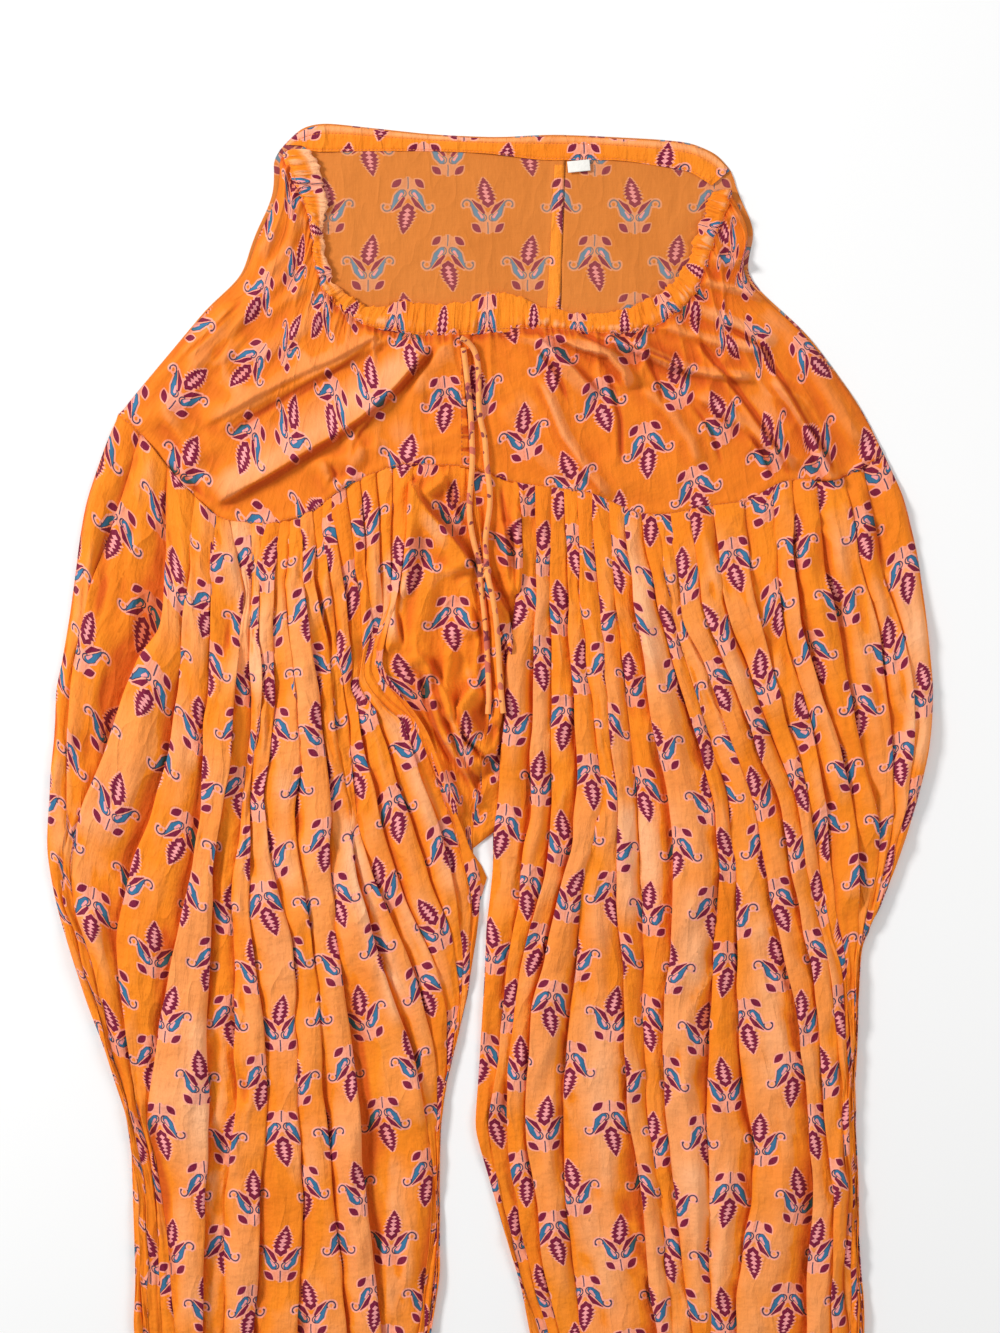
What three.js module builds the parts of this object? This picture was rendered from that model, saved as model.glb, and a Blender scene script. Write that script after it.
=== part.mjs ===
// Patiala salwar laid flat, front up, on a surface at z = 0.
// Millimetres. +Y points to the waist, +Z away from the surface.
// "left" and "right" are as seen by someone who looks down on the front.
import * as THREE from 'three';

// ---- driving dimensions ----
const CLOTH = 1.4;            // wall of the modelled cloth
const LAYER_GAP = 0.3;        // air between a front piece and the back piece under it
const SEAM_GAP = 0.5;         // plan gap between two pieces that are sewn together
const BACK_Z = CLOTH / 2;                          // mid height of the under layer
const FRONT_Z = BACK_Z + CLOTH + LAYER_GAP;        // lowest mid height of the upper layer
const SEAM_RISE = 2.0;        // how far the pleated belt seam stands up
const CASING_HIGH = 5.2;      // thickness of the gathered casing
const GATHER = 0.9;           // height of one gather of the casing
const STRING_R = 2.4;         // drawstring radius
const KNOT_R = 5.2;           // half width of the knot
const CUFF_TOP = -500.3;      // where a leg is gathered into its cuff
const HEM = -552;             // end of the cuff
const CUFF_HIGH = 5.2;        // thickness of the flattened cuff
const MIDDLE = { x: 0.447, y: 1.382 };   // middle of the outline, which becomes the origin
const TAG = { x: 71.2, y: 518.6, long: 18, wide: 9, thick: 0.6, turn: 0.07 };

// ---- colours of the cloth ----
const ORANGE = 0xf58b35, WRONG_SIDE = 0xdd8640, STRING = 0xf3a25a, WHITE = 0xf2f0ea;

// ---- outline of the flat garment: half widths of both sides at each height ----
const OUTLINE = [
  { y: 530.4, left: -170.4, right: 190.4 }, { y: 520, left: -174.4, right: 192.8 },
  { y: 503.2, left: -172, right: 196 }, { y: 488, left: -176.8, right: 203.2 },
  { y: 468, left: -187.2, right: 213.6 }, { y: 450.4, left: -193.6, right: 208 },
  { y: 431.2, left: -197.6, right: 204 }, { y: 408, left: -225.6, right: 228.8 },
  { y: 388, left: -241.6, right: 252 }, { y: 348, left: -275.2, right: 282.4 },
  { y: 320, left: -298.4, right: 300.8 }, { y: 288, left: -310.4, right: 316 },
  { y: 248, left: -324, right: 333.6 }, { y: 208, left: -330.4, right: 343.2 },
  { y: 156, left: -337.6, right: 350.4 }, { y: 100, left: -347.2, right: 356 },
  { y: 52, left: -350.4, right: 352.8 }, { y: 12, left: -352.8, right: 343.2 },
  { y: -26.4, left: -356, right: 331.2 }, { y: -52, left: -352, right: 321.6 },
  { y: -72, left: -348, right: 312 }, { y: -92, left: -342.4, right: 297.6 },
  { y: -132, left: -329.6, right: 296 }, { y: -172, left: -315.2, right: 294.4 },
  { y: -212, left: -300.8, right: 292 }, { y: -252, left: -288, right: 292.8 },
  { y: -292, left: -287.2, right: 295.2 }, { y: -348, left: -284, right: 295.2 },
  { y: -414.4, left: -285.6, right: 300.8 }, { y: -456, left: -279.2, right: 292.8 },
  { y: -500, left: -246.4, right: 248.8 }, { y: -552, left: -246.4, right: 248.8 },
];
// Inner edge of each leg: against the gores down to the crotch, free below it.
const INNER = [
  { y: 276, left: -60.8, right: 21.6 }, { y: 236, left: -64, right: 24 },
  { y: 204, left: -68, right: 24 }, { y: 172, left: -73.6, right: 19.2 },
  { y: 140, left: -83.2, right: 14.4 }, { y: 117.6, left: -87.2, right: 12 },
  { y: 92, left: -68, right: 11.2 }, { y: 68, left: -49.6, right: 10.4 },
  { y: 44, left: -40.8, right: 7.2 }, { y: 12, left: -31.2, right: 5.6 },
  { y: -14.4, left: -20, right: 1.6 }, { y: -29.6, left: -14.4, right: 2.4 },
  { y: -48.8, left: -6.4, right: 1.6 }, { y: -72, left: -8, right: -0.8 },
  { y: -92, left: -9.6, right: -3.2 }, { y: -132, left: -16, right: -4.8 },
  { y: -172, left: -24, right: -7.2 }, { y: -212, left: -34.4, right: -9.6 },
  { y: -252, left: -39.2, right: -12 }, { y: -292, left: -40, right: -0.8 },
  { y: -332, left: -40, right: 10.4 }, { y: -372, left: -40.8, right: 23.2 },
  { y: -414.4, left: -48, right: 32 }, { y: -456, left: -54.4, right: 40 },
  { y: -500, left: -81.6, right: 84 }, { y: -552, left: -81.6, right: 84 },
];
// Crotch seam, which joins the gores.
const CROTCH = [
  { y: 279.2, x: -14.4 }, { y: 236, x: -9.6 }, { y: 192, x: -4.8 }, { y: 140, x: -2.4 },
  { y: 100, x: -0.8 }, { y: 69.6, x: -0.8 }, { y: 46.4, x: -7.2 }, { y: 20, x: -6.4 },
  { y: 2.4, x: -12.8 }, { y: -24.8, x: -13.6 },
];
const CROTCH_END = { left: -26, middle: -22, right: -10.4 };
// Seam between belt and legs, front and back.
const SEAM = [
  { x: -298.4, y: 320 }, { x: -278.4, y: 303.2 }, { x: -264, y: 284.8 }, { x: -253.6, y: 271.2 },
  { x: -235.2, y: 252 }, { x: -215.2, y: 234.4 }, { x: -176, y: 231.2 }, { x: -144.8, y: 240 },
  { x: -112.8, y: 264 }, { x: -75.2, y: 279.2 }, { x: -41.6, y: 279.2 }, { x: -14.4, y: 277.6 },
  { x: 22.4, y: 264 }, { x: 80.8, y: 256.8 }, { x: 116.8, y: 240 }, { x: 139.2, y: 238.4 },
  { x: 172.8, y: 245.6 }, { x: 207.2, y: 249.6 }, { x: 229.6, y: 264 }, { x: 247.2, y: 268 },
  { x: 274.4, y: 266.4 }, { x: 297.6, y: 276 }, { x: 316, y: 288 },
];
const BACK_SEAM = [
  { x: -298.4, y: 320 }, { x: -224, y: 303.2 }, { x: -128, y: 295.2 }, { x: 0, y: 292 },
  { x: 128, y: 290.4 }, { x: 240, y: 290.4 }, { x: 316, y: 288 },
];
// Gathered front casing: its edge at the opening and its edge at the belt, station by station.
const CASING = [
  { s: 0, inX: -147.2, inY: 534.4, outX: -167.2, outY: 532 }, { s: 1, inX: -136, inY: 519.2, outX: -160.8, outY: 514.4 },
  { s: 2, inX: -132.8, inY: 500, outX: -154.4, outY: 498.4 }, { s: 3, inX: -132, inY: 480, outX: -144.8, outY: 482.4 },
  { s: 4, inX: -132, inY: 460, outX: -143.2, outY: 461.6 }, { s: 5, inX: -131.2, inY: 439.2, outX: -141.6, outY: 440.8 },
  { s: 6, inX: -124.8, inY: 421.6, outX: -134.4, outY: 415.2 }, { s: 7, inX: -110.4, inY: 412, outX: -117.6, outY: 399.2 },
  { s: 8, inX: -92, inY: 407.2, outX: -97.6, outY: 389.6 }, { s: 9, inX: -72.8, inY: 408.8, outX: -74.4, outY: 386.4 },
  { s: 10, inX: -49.6, inY: 412, outX: -51.2, outY: 381.6 }, { s: 11, inX: -28, inY: 410.4, outX: -28, outY: 383.2 },
  { s: 12, inX: -8, inY: 415.2, outX: -9.6, outY: 384.8 }, { s: 13, inX: 12.8, inY: 419.2, outX: 12.8, outY: 386.4 },
  { s: 14, inX: 34.4, inY: 409.6, outX: 36, outY: 388 }, { s: 15, inX: 56.8, inY: 401.6, outX: 57.6, outY: 386.4 },
  { s: 16, inX: 80, inY: 400.8, outX: 81.6, outY: 384.8 }, { s: 17, inX: 102.4, inY: 403.2, outX: 104, outY: 383.2 },
  { s: 18, inX: 120.8, inY: 408.8, outX: 126.4, outY: 386.4 }, { s: 19, inX: 136, inY: 416.8, outX: 145.6, outY: 397.6 },
  { s: 20, inX: 148.8, inY: 428, outX: 164.8, outY: 413.6 }, { s: 21, inX: 156.8, inY: 442.4, outX: 174.4, outY: 436 },
  { s: 22, inX: 163.2, inY: 460, outX: 178.4, outY: 455.2 }, { s: 23, inX: 170.4, inY: 477.6, outX: 185.6, outY: 472.8 },
  { s: 24, inX: 176.8, inY: 489.6, outX: 192, outY: 487.2 }, { s: 25, inX: 179.2, inY: 500, outX: 194.4, outY: 501.6 },
];
// Which station of the casing each point of the belt seam hangs from: the belt fans out.
const FAN = [
  { x: -298.4, s: 0 }, { x: -278.4, s: 1.2 }, { x: -253.6, s: 2.8 }, { x: -235.2, s: 3.8 },
  { x: -215.2, s: 4.8 }, { x: -176, s: 6 }, { x: -144.8, s: 7 }, { x: -112.8, s: 7.9 },
  { x: -75.2, s: 9.2 }, { x: -41.6, s: 10.2 }, { x: -14.4, s: 11.2 }, { x: 22.4, s: 12.6 },
  { x: 80.8, s: 15 }, { x: 116.8, s: 16.6 }, { x: 139.2, s: 17.6 }, { x: 172.8, s: 19 },
  { x: 207.2, s: 20.3 }, { x: 229.6, s: 21.2 }, { x: 247.2, s: 22 }, { x: 274.4, s: 23.4 },
  { x: 297.6, s: 24.4 }, { x: 316, s: 25 },
];
// Turned-in band inside the back waist: top fold and stitched lower edge.
const BACK_CASING = [
  { topX: -164, topY: 536.8, lowX: -148.8, lowY: 536 }, { topX: -150.4, topY: 549.6, lowX: -143.2, lowY: 531.2 },
  { topX: -133.6, topY: 553.6, lowX: -128, lowY: 531.2 }, { topX: -97.6, topY: 549.6, lowX: -96, lowY: 532 },
  { topX: -48, topY: 544, lowX: -48, lowY: 532 }, { topX: 6.4, topY: 541.6, lowX: 0, lowY: 530.4 },
  { topX: 43.2, topY: 544, lowX: 40, lowY: 524 }, { topX: 74.4, topY: 543.2, lowX: 74.4, lowY: 524.8 },
  { topX: 104.8, topY: 541.6, lowX: 104.8, lowY: 524.8 }, { topX: 135.2, topY: 540, lowX: 135.2, lowY: 520 },
  { topX: 160.8, topY: 537.6, lowX: 160, lowY: 516 }, { topX: 180.8, topY: 528.8, lowX: 169.6, lowY: 509.6 },
  { topX: 192, topY: 516, lowX: 177.6, lowY: 504 },
];
// Top of the back belt outside that band, at both ends of the waist.
const WAIST_EDGE = { out: 1.2, leftX: -168, leftY: 532.4, rightX: 193.6, rightY: 512 };

// ---- pleats: where each crease crosses the heights a to f, and how far the cloth rises beside it ----
const STATION = { a: 204, b: 92, c: -36, d: -164, e: -292, f: -414.4 };
const LEFT_FOLDS = [
  { fold: 'outer roll', seam: -285.6, a: -302.4, b: -315.2, c: -342.4, d: -315.2, e: -284.8, f: -283.2, rise: 6 },
  { fold: 'outer crease', seam: -265.6, a: -272, b: -295.2, c: -331.2, d: -312, e: -282.4, f: -280.8, rise: 7 },
  { fold: 'side crease', seam: -244, a: -241.6, b: -252, c: -280, d: -304, e: -279.2, f: -272, rise: 8 },
  { fold: 'long crease 1', seam: -228, a: -220, b: -227.2, c: -236.8, d: -263.2, e: -272, f: -260, rise: 7 },
  { fold: 'long crease 2', seam: -214.4, a: -195.2, b: -203.2, c: -221.6, d: -225.6, e: -225.6, f: -227.2, rise: 9 },
  { fold: 'middle crease 1', seam: -195.2, a: -179.2, b: -182.4, c: -192, d: -206.4, e: -216, f: -212, rise: 7 },
  { fold: 'middle crease 2', seam: -176, a: -160, b: -166.4, c: -176, d: -192, e: -182.4, f: -188.8, rise: 9 },
  { fold: 'middle crease 3', seam: -158.4, a: -148, b: -153.6, c: -152, d: -155.2, e: -160, f: -166.4, rise: 6 },
  { fold: 'long crease 3', seam: -142.4, a: -136.8, b: -131.2, c: -124.8, d: -113.6, e: -99.2, f: -85.6, rise: 9 },
  { fold: 'inner crease 1', seam: -124.8, a: -121.6, b: -116, c: -110.4, d: -94.4, e: -80, f: -68.8, rise: 7 },
  { fold: 'inner crease 2', seam: -102.4, a: -101.6, b: -102.4, c: -94.4, d: -64, e: -60.8, f: -58.4, rise: 8 },
  { fold: 'inner crease 3', seam: -80, a: -83.2, b: -92, c: -73.6, d: -43.2, e: -51.2, f: -52.8, rise: 6 },
];
const RIGHT_FOLDS = [
  { fold: 'inner crease 1', seam: 40, a: 37.6, b: 36, c: 24, d: 14.4, e: 10.4, f: 44, rise: 6 },
  { fold: 'inner crease 2', seam: 57.6, a: 50.4, b: 56, c: 52.8, d: 30.4, e: 27.2, f: 56, rise: 8 },
  { fold: 'inner crease 3', seam: 76, a: 68, b: 88, c: 74.4, d: 70.4, e: 56, f: 76, rise: 7 },
  { fold: 'middle crease 1', seam: 93.6, a: 85.6, b: 102.4, c: 101.6, d: 105.6, e: 116.8, f: 124, rise: 9 },
  { fold: 'middle crease 2', seam: 115.2, a: 105.6, b: 128, c: 144.8, d: 133.6, e: 144, f: 160, rise: 8 },
  { fold: 'long crease 1', seam: 139.2, a: 129.6, b: 142.4, c: 160, d: 168, e: 174.4, f: 177.6, rise: 6 },
  { fold: 'long crease 2', seam: 160, a: 155.2, b: 160, c: 185.6, d: 198.4, e: 204.8, f: 192, rise: 9 },
  { fold: 'long crease 3', seam: 180, a: 175.2, b: 180.8, c: 217.6, d: 246.4, e: 248, f: 236.8, rise: 8 },
  { fold: 'outer crease 1', seam: 204, a: 202.4, b: 200, c: 237.6, d: 260, e: 268.8, f: 272.8, rise: 7 },
  { fold: 'outer crease 2', seam: 229.6, a: 232, b: 228.8, c: 272, d: 276.8, e: 278.4, f: 281.6, rise: 8 },
  { fold: 'bulge edge', seam: 244.8, a: 245.6, b: 265.6, c: 296, d: 284.8, e: 284.8, f: 288, rise: 9 },
  { fold: 'bulge crease', seam: 268, a: 273.6, b: 288, c: 312, d: 289.6, e: 289.6, f: 293.6, rise: 6 },
];
// Ridges of the belt, given by the seam point that their cloth hangs over.
const BELT_RIDGES = [
  { name: 'left ridge', top: -70, low: -176, from: 0, to: 0.97, wide: 26, rise: 8 },
  { name: 'left outer', top: -215, low: -262, from: 0.1, to: 0.9, wide: 24, rise: 5 },
  { name: 'left middle', top: -120, low: -215, from: 0.05, to: 0.85, wide: 22, rise: 4 },
  { name: 'right upper', top: 40, low: 205, from: 0, to: 0.7, wide: 26, rise: 6 },
  { name: 'right middle', top: 110, low: 190, from: 0.05, to: 0.9, wide: 22, rise: 5 },
  { name: 'right outer', top: 230, low: 268, from: 0.1, to: 0.9, wide: 24, rise: 5 },
];
const LEG_ROWS = [0, 0.03, 0.08, 0.13, 0.19, 0.25, 0.31, 0.37, 0.45, 0.54, 0.63, 0.72, 0.81, 0.88, 0.94, 1];
const BELT_ROWS = [0, 0.14, 0.32, 0.52, 0.72, 0.88, 1];
const BACK_ROWS = [0, 0.08, 0.16, 0.24, 0.32, 0.38, 0.43, 0.48, 0.56, 0.65, 0.74, 0.83, 0.9, 0.95, 1];
const POUCH = { y: 85, x: -26, tall: 60, wide: 26, rise: 9 };      // soft bag of cloth above the crotch
const BACK_TIP = { y: -48.8, x: -0.8, tall: 20 };                  // corner of the left leg that reaches the right one

// String routes, from the casing to the knot and from the knot to the free ends.
const STRING_ROUTES = {
  string_right: [[-24, 381.2], [-18.4, 379], [-13.4, 374.4], [-10.4, 367], [-8.8, 357.6], [-9.2, 346.4], [-9.2, 333.6], [-8.8, 322.4], [-7.6, 314], [-5.2, 307.2], [-3.2, 297.6], [-3.4, 285.6], [-2.4, 276], [-0.8, 266.4], [0.8, 255.2], [0, 243.2], [-2.6, 232], [-4.4, 220], [-3.4, 210.4], [-2.4, 203]],
  string_left: [[-21.4, 373.6], [-20.6, 365.6], [-18.8, 355.2], [-17.4, 340], [-16, 328.8], [-15.2, 318.4], [-14.4, 300], [-13.6, 285.6], [-14.4, 272.8], [-16, 260], [-16.8, 249.6], [-16.8, 239.2], [-15.4, 228], [-12.6, 216], [-10, 208], [-8.8, 202.4]],
  string_tail_left: [[-8, 187.6], [-6.4, 178], [-5.2, 168], [-4, 157.6], [-2.8, 144.8], [-2.2, 132], [-1.8, 118.4], [-1.2, 108], [-0.6, 98.4], [-1, 89.6], [-1.8, 80.8]],
  string_tail_right: [[-1.6, 188], [1.2, 179], [3.2, 168.8], [4.8, 157.6], [6, 144.8], [6.8, 132], [7.4, 118.4], [8, 108], [8.6, 99], [9.6, 90.4], [10.8, 81.6]],
};
const STRING_STEPS = { string_right: 20, string_left: 18, string_tail_left: 12, string_tail_right: 12 };
const KNOT = { x: -4.8, y: 195.2 };

// ---- helpers ----
const lerp = (a, b, f) => a + (b - a) * f;
const smooth = (f) => { const c = Math.min(1, Math.max(0, f)); return c * c * (3 - 2 * c); };

// Straight interpolation in a table whose key column runs up or down.
function look(table, key, at, column) {
  for (let i = 0; i + 1 < table.length; i++) {
    const a = table[i][key], b = table[i + 1][key];
    if ((at - a) * (at - b) <= 0 && a !== b) return lerp(table[i][column], table[i + 1][column], (at - a) / (b - a));
  }
  const first = table[0], last = table[table.length - 1];
  return Math.abs(at - first[key]) < Math.abs(at - last[key]) ? first[column] : last[column];
}
const casingAt = (s) => ['inX', 'inY', 'outX', 'outY'].map((c) => look(CASING, 's', s, c));

function meshOf(name, positions, faces, colour) {
  const geometry = new THREE.BufferGeometry();
  geometry.setAttribute('position', new THREE.Float32BufferAttribute(positions.flat(), 3));
  geometry.setIndex(faces.flat());
  geometry.computeVertexNormals();
  const mesh = new THREE.Mesh(geometry, new THREE.MeshStandardMaterial({ color: colour, roughness: 0.9, metalness: 0 }));
  mesh.name = name;
  return mesh;
}

// A wall of cloth from rows of mid points, rows running down the garment and columns to the right.
const surfaces = [];
function wall(name, rows, colour, thick = CLOTH) {
  const R = rows.length, C = rows[0].length, n = R * C, at = (r, c) => r * C + c;
  const points = [];
  for (const side of [0.5, -0.5]) for (const row of rows) for (const p of row) points.push([p[0], p[1], p[2] + side * thick]);
  const faces = [];
  for (let r = 0; r + 1 < R; r++) for (let c = 0; c + 1 < C; c++) {
    const a = at(r, c), b = at(r + 1, c), d = at(r + 1, c + 1), e = at(r, c + 1);
    faces.push([a, b, d], [a, d, e], [n + a, n + d, n + b], [n + a, n + e, n + d]);
    surfaces.push([points[a], points[b], points[d]], [points[a], points[d], points[e]]);
  }
  const edge = (a, b) => faces.push([a, n + b, b], [a, n + a, n + b]);
  for (let c = 0; c + 1 < C; c++) { edge(at(0, c + 1), at(0, c)); edge(at(R - 1, c), at(R - 1, c + 1)); }
  for (let r = 0; r + 1 < R; r++) { edge(at(r, 0), at(r + 1, 0)); edge(at(r + 1, C - 1), at(r, C - 1)); }
  return meshOf(name, points, faces, colour);
}

// Height of the top of whatever cloth lies at a point.
function topAt(x, y) {
  let best = CLOTH;
  for (const [a, b, c] of surfaces) {
    const d = (b[0] - a[0]) * (c[1] - a[1]) - (c[0] - a[0]) * (b[1] - a[1]);
    if (Math.abs(d) < 1e-9) continue;
    const u = ((x - a[0]) * (c[1] - a[1]) - (c[0] - a[0]) * (y - a[1])) / d;
    const v = ((b[0] - a[0]) * (y - a[1]) - (x - a[0]) * (b[1] - a[1])) / d;
    if (u >= 0 && v >= 0 && u + v <= 1) best = Math.max(best, a[2] + u * (b[2] - a[2]) + v * (c[2] - a[2]));
  }
  return best;
}

// Mid height along the belt seam, low at the sides of the garment.
const seamZ = (x) => FRONT_Z + SEAM_RISE * smooth(Math.min(x + 298.4, 316 - x) / 30);

// ---- legs ----
const foldX = (fold, y) => {
  const keys = Object.keys(STATION);
  if (y >= STATION.a) return lerp(fold.seam, fold.a, smooth((seamY(fold.seam) - y) / (seamY(fold.seam) - STATION.a)));
  for (let i = 0; i + 1 < keys.length; i++) {
    const hi = STATION[keys[i]], lo = STATION[keys[i + 1]];
    if (y >= lo) return lerp(fold[keys[i]], fold[keys[i + 1]], (hi - y) / (hi - lo));
  }
  return fold.f;
};
const seamY = (x) => look(SEAM, 'x', x, 'y');

// Columns of a leg front: an edge, then a crest and a crease for each fold, a last crest and the other edge.
function legColumns(folds, xLow, xHigh) {
  const columns = [{ kind: 'edge', seam: xLow, at: null, side: 0 }];
  let before = null;
  for (const fold of folds) {
    columns.push({ kind: 'crest', between: [before, fold], rise: fold.rise }, { kind: 'crease', fold, rise: fold.rise });
    before = fold;
  }
  columns.push({ kind: 'crest', between: [before, null], rise: before.rise }, { kind: 'edge', side: 1 });
  const seamOf = (f, end) => (f ? f.seam : end);
  for (const col of columns) {
    if (col.kind === 'edge') col.seam = col.side ? xHigh : xLow;
    else if (col.kind === 'crease') col.seam = col.fold.seam;
    else col.seam = lerp(seamOf(col.between[0], xLow), seamOf(col.between[1], xHigh), 0.45);
  }
  return columns;
}
function legRow(columns, fraction, xLowAt, xHighAt) {
  // heights first, because every column hangs from its own point of the seam
  const ys = columns.map((col) => lerp(seamY(col.seam) - SEAM_GAP / 2, CUFF_TOP + SEAM_GAP, fraction));
  const xs = columns.map((col, i) => {
    const y = ys[i], low = xLowAt(y), high = xHighAt(y);
    if (fraction === 0) return col.seam;
    if (col.kind === 'edge') return col.side ? high : low;
    const place = (f, end) => {
      if (!f) return end;
      if (y >= STATION.f) return foldX(f, y);
      const lowF = xLowAt(STATION.f), highF = xHighAt(STATION.f);
      return lerp(low, high, (f.f - lowF) / (highF - lowF));
    };
    return col.kind === 'crease' ? place(col.fold) : lerp(place(col.between[0], low), place(col.between[1], high), 0.45);
  });
  // creases that run off the edge are stacked just inside it
  const step = 1.6;
  for (let i = 1; i < xs.length; i++) xs[i] = Math.max(xs[i], xs[i - 1] + (fraction === 0 ? 0 : step));
  if (fraction > 0) {
    xs[xs.length - 1] = xHighAt(ys[xs.length - 1]);
    for (let i = xs.length - 2; i >= 0; i--) xs[i] = Math.min(xs[i], xs[i + 1] - step);
  }
  const swell = smooth(fraction / 0.14) * lerp(1, 0.45, smooth((fraction - 0.86) / 0.14));
  return columns.map((col, i) => {
    const base = lerp(seamZ(xs[i]), FRONT_Z, smooth(fraction / 0.1));
    if (col.kind !== 'crest') return [xs[i], ys[i], base];
    const room = Math.min(xs[i] - xs[i - 1], xs[i + 1] - xs[i]);
    return [xs[i], ys[i], base + Math.min(col.rise * swell, room * 0.9)];
  });
}
const outlineLeft = (y) => look(OUTLINE, 'y', y, 'left'), outlineRight = (y) => look(OUTLINE, 'y', y, 'right');
const innerLeft = (y) => look(INNER, 'y', y, 'left'), innerRight = (y) => look(INNER, 'y', y, 'right');
const crotchX = (y) => look(CROTCH, 'y', y, 'x');
const half = SEAM_GAP / 2;

const leftColumns = legColumns(LEFT_FOLDS, SEAM[0].x, INNER[0].left - half);
const rightColumns = legColumns(RIGHT_FOLDS, INNER[0].right + half, SEAM[SEAM.length - 1].x);
const leftLeg = LEG_ROWS.map((f) => legRow(leftColumns, f, outlineLeft, (y) => innerLeft(y) - half));
const rightLeg = LEG_ROWS.map((f) => legRow(rightColumns, f, (y) => innerRight(y) + half, outlineRight));
const legFrontLeft = wall('leg_front_left', leftLeg, ORANGE);
const legFrontRight = wall('leg_front_right', rightLeg, ORANGE);

// ---- gores ----
// A gore shares the rows of the leg beside it, so that both edges run side by side to the crotch.
const CROTCH_TOP = CROTCH[0].x;
function goreRows(leg, legRows, side, columns, topY, rise) {
  const edge = leg.map((row) => (side < 0 ? row[row.length - 1] : row[0])).map((p) => ({ x: p[0] - side * SEAM_GAP, y: p[1] }));
  const end = side < 0 ? CROTCH_END.left : CROTCH_END.right;
  const shared = edge.findIndex((p) => p.y < end + 6);
  const outer = [...edge.slice(0, shared), { x: look(edge, 'y', end, 'x'), y: end }];
  const middle = legRows.slice(0, shared).map((f) => lerp(topY(CROTCH_TOP) - half, CUFF_TOP + SEAM_GAP, f)).map((y, i) => ({ x: (i ? crotchX(y) : CROTCH_TOP) + side * half, y }));
  middle.push({ x: crotchX(CROTCH_END.middle) + side * half, y: CROTCH_END.middle });
  return outer.map((out, r) => columns.map((c) => {
    const from = side < 0 ? out : middle[r], to = side < 0 ? middle[r] : out;
    const x = lerp(from.x, to.x, c), y = r === 0 ? topY(x) - half : lerp(from.y, to.y, c);
    return [x, y, rise(x, y, c, r / (outer.length - 1))];
  }));
}
const GORE_COLUMNS = [0, 0.25, 0.5, 0.75, 1];
const goreFrontZ = (x, y, c, f) => {
  const bag = POUCH.rise * Math.exp(-(((y - POUCH.y) / POUCH.tall) ** 2) - ((x - POUCH.x) / POUCH.wide) ** 2);
  const fold = 2.4 * Math.sin(Math.PI * c) * smooth(f / 0.2) * smooth((1 - f) / 0.3);
  return lerp(seamZ(x), FRONT_Z, smooth(f / 0.3)) + (c === 0 || c === 1 || f === 0 ? 0 : bag + fold);
};
const goreFrontLeft = wall('gore_front_left', goreRows(leftLeg, LEG_ROWS, -1, GORE_COLUMNS, seamY, goreFrontZ), ORANGE);
const goreFrontRight = wall('gore_front_right', goreRows(rightLeg, LEG_ROWS, 1, GORE_COLUMNS, seamY, goreFrontZ), ORANGE);

// ---- front belt ----
// Straight fans between casing and seam, pulled in at the sides to the outline.
function beltPoint(x, t, side) {
  const s = look(FAN, 'x', x, 's'), [ix, iy, ox, oy] = casingAt(s);
  const away = Math.hypot(ox - ix, oy - iy);
  const top = [ox + (ox - ix) / away * SEAM_GAP, oy + (oy - iy) / away * SEAM_GAP];
  const low = [x, seamY(x) + half];
  const p = [lerp(top[0], low[0], t), lerp(top[1], low[1], t)];
  const end = side < 0 ? OUTLINE_TOP.left : OUTLINE_TOP.right;
  const near = smooth(1 - Math.abs(x - end.x) / 110) * (t > 0 && t < 1 ? 1 : 0);
  if (near > 0) {
    const straight = lerp(end.top[0], end.x, t), y = lerp(end.top[1], end.y, t);
    p[0] += near * ((side < 0 ? outlineLeft(y) : outlineRight(y)) - straight);
  }
  const z = lerp(FRONT_Z, seamZ(x), Math.min(1, t + 0.2 * smooth(Math.abs(x - end.x) / 40)));
  let rise = 0;
  for (const ridge of BELT_RIDGES) {
    const f = (t - ridge.from) / (ridge.to - ridge.from);
    if (f <= 0 || f >= 1) continue;
    rise = Math.max(rise, ridge.rise * Math.sin(Math.PI * f) * Math.max(0, 1 - Math.abs(x - lerp(ridge.top, ridge.low, f)) / ridge.wide));
  }
  return [p[0], p[1], z + rise * smooth(Math.abs(x - end.x) / 25) * smooth(Math.abs(x - CROTCH_TOP) / 30)];
}
const OUTLINE_TOP = {
  left: { x: SEAM[0].x, y: SEAM[0].y, top: [CASING[0].outX, CASING[0].outY] },
  right: { x: SEAM[SEAM.length - 1].x, y: SEAM[SEAM.length - 1].y, top: [CASING[CASING.length - 1].outX, CASING[CASING.length - 1].outY] },
};
const leftSeam = [...leftColumns.map((c) => c.seam), ...GORE_COLUMNS.slice(1).map((c) => lerp(INNER[0].left + half, CROTCH_TOP - half, c))];
const rightSeam = [...GORE_COLUMNS.map((c) => lerp(CROTCH_TOP + half, INNER[0].right - half, c)), ...rightColumns.slice(1).map((c) => c.seam)];
const yokeFrontLeft = wall('yoke_front_left', BELT_ROWS.map((t) => leftSeam.map((x) => beltPoint(x, t, -1))), ORANGE);
const yokeFrontRight = wall('yoke_front_right', BELT_ROWS.map((t) => rightSeam.map((x) => beltPoint(x, t, 1))), ORANGE);

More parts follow.
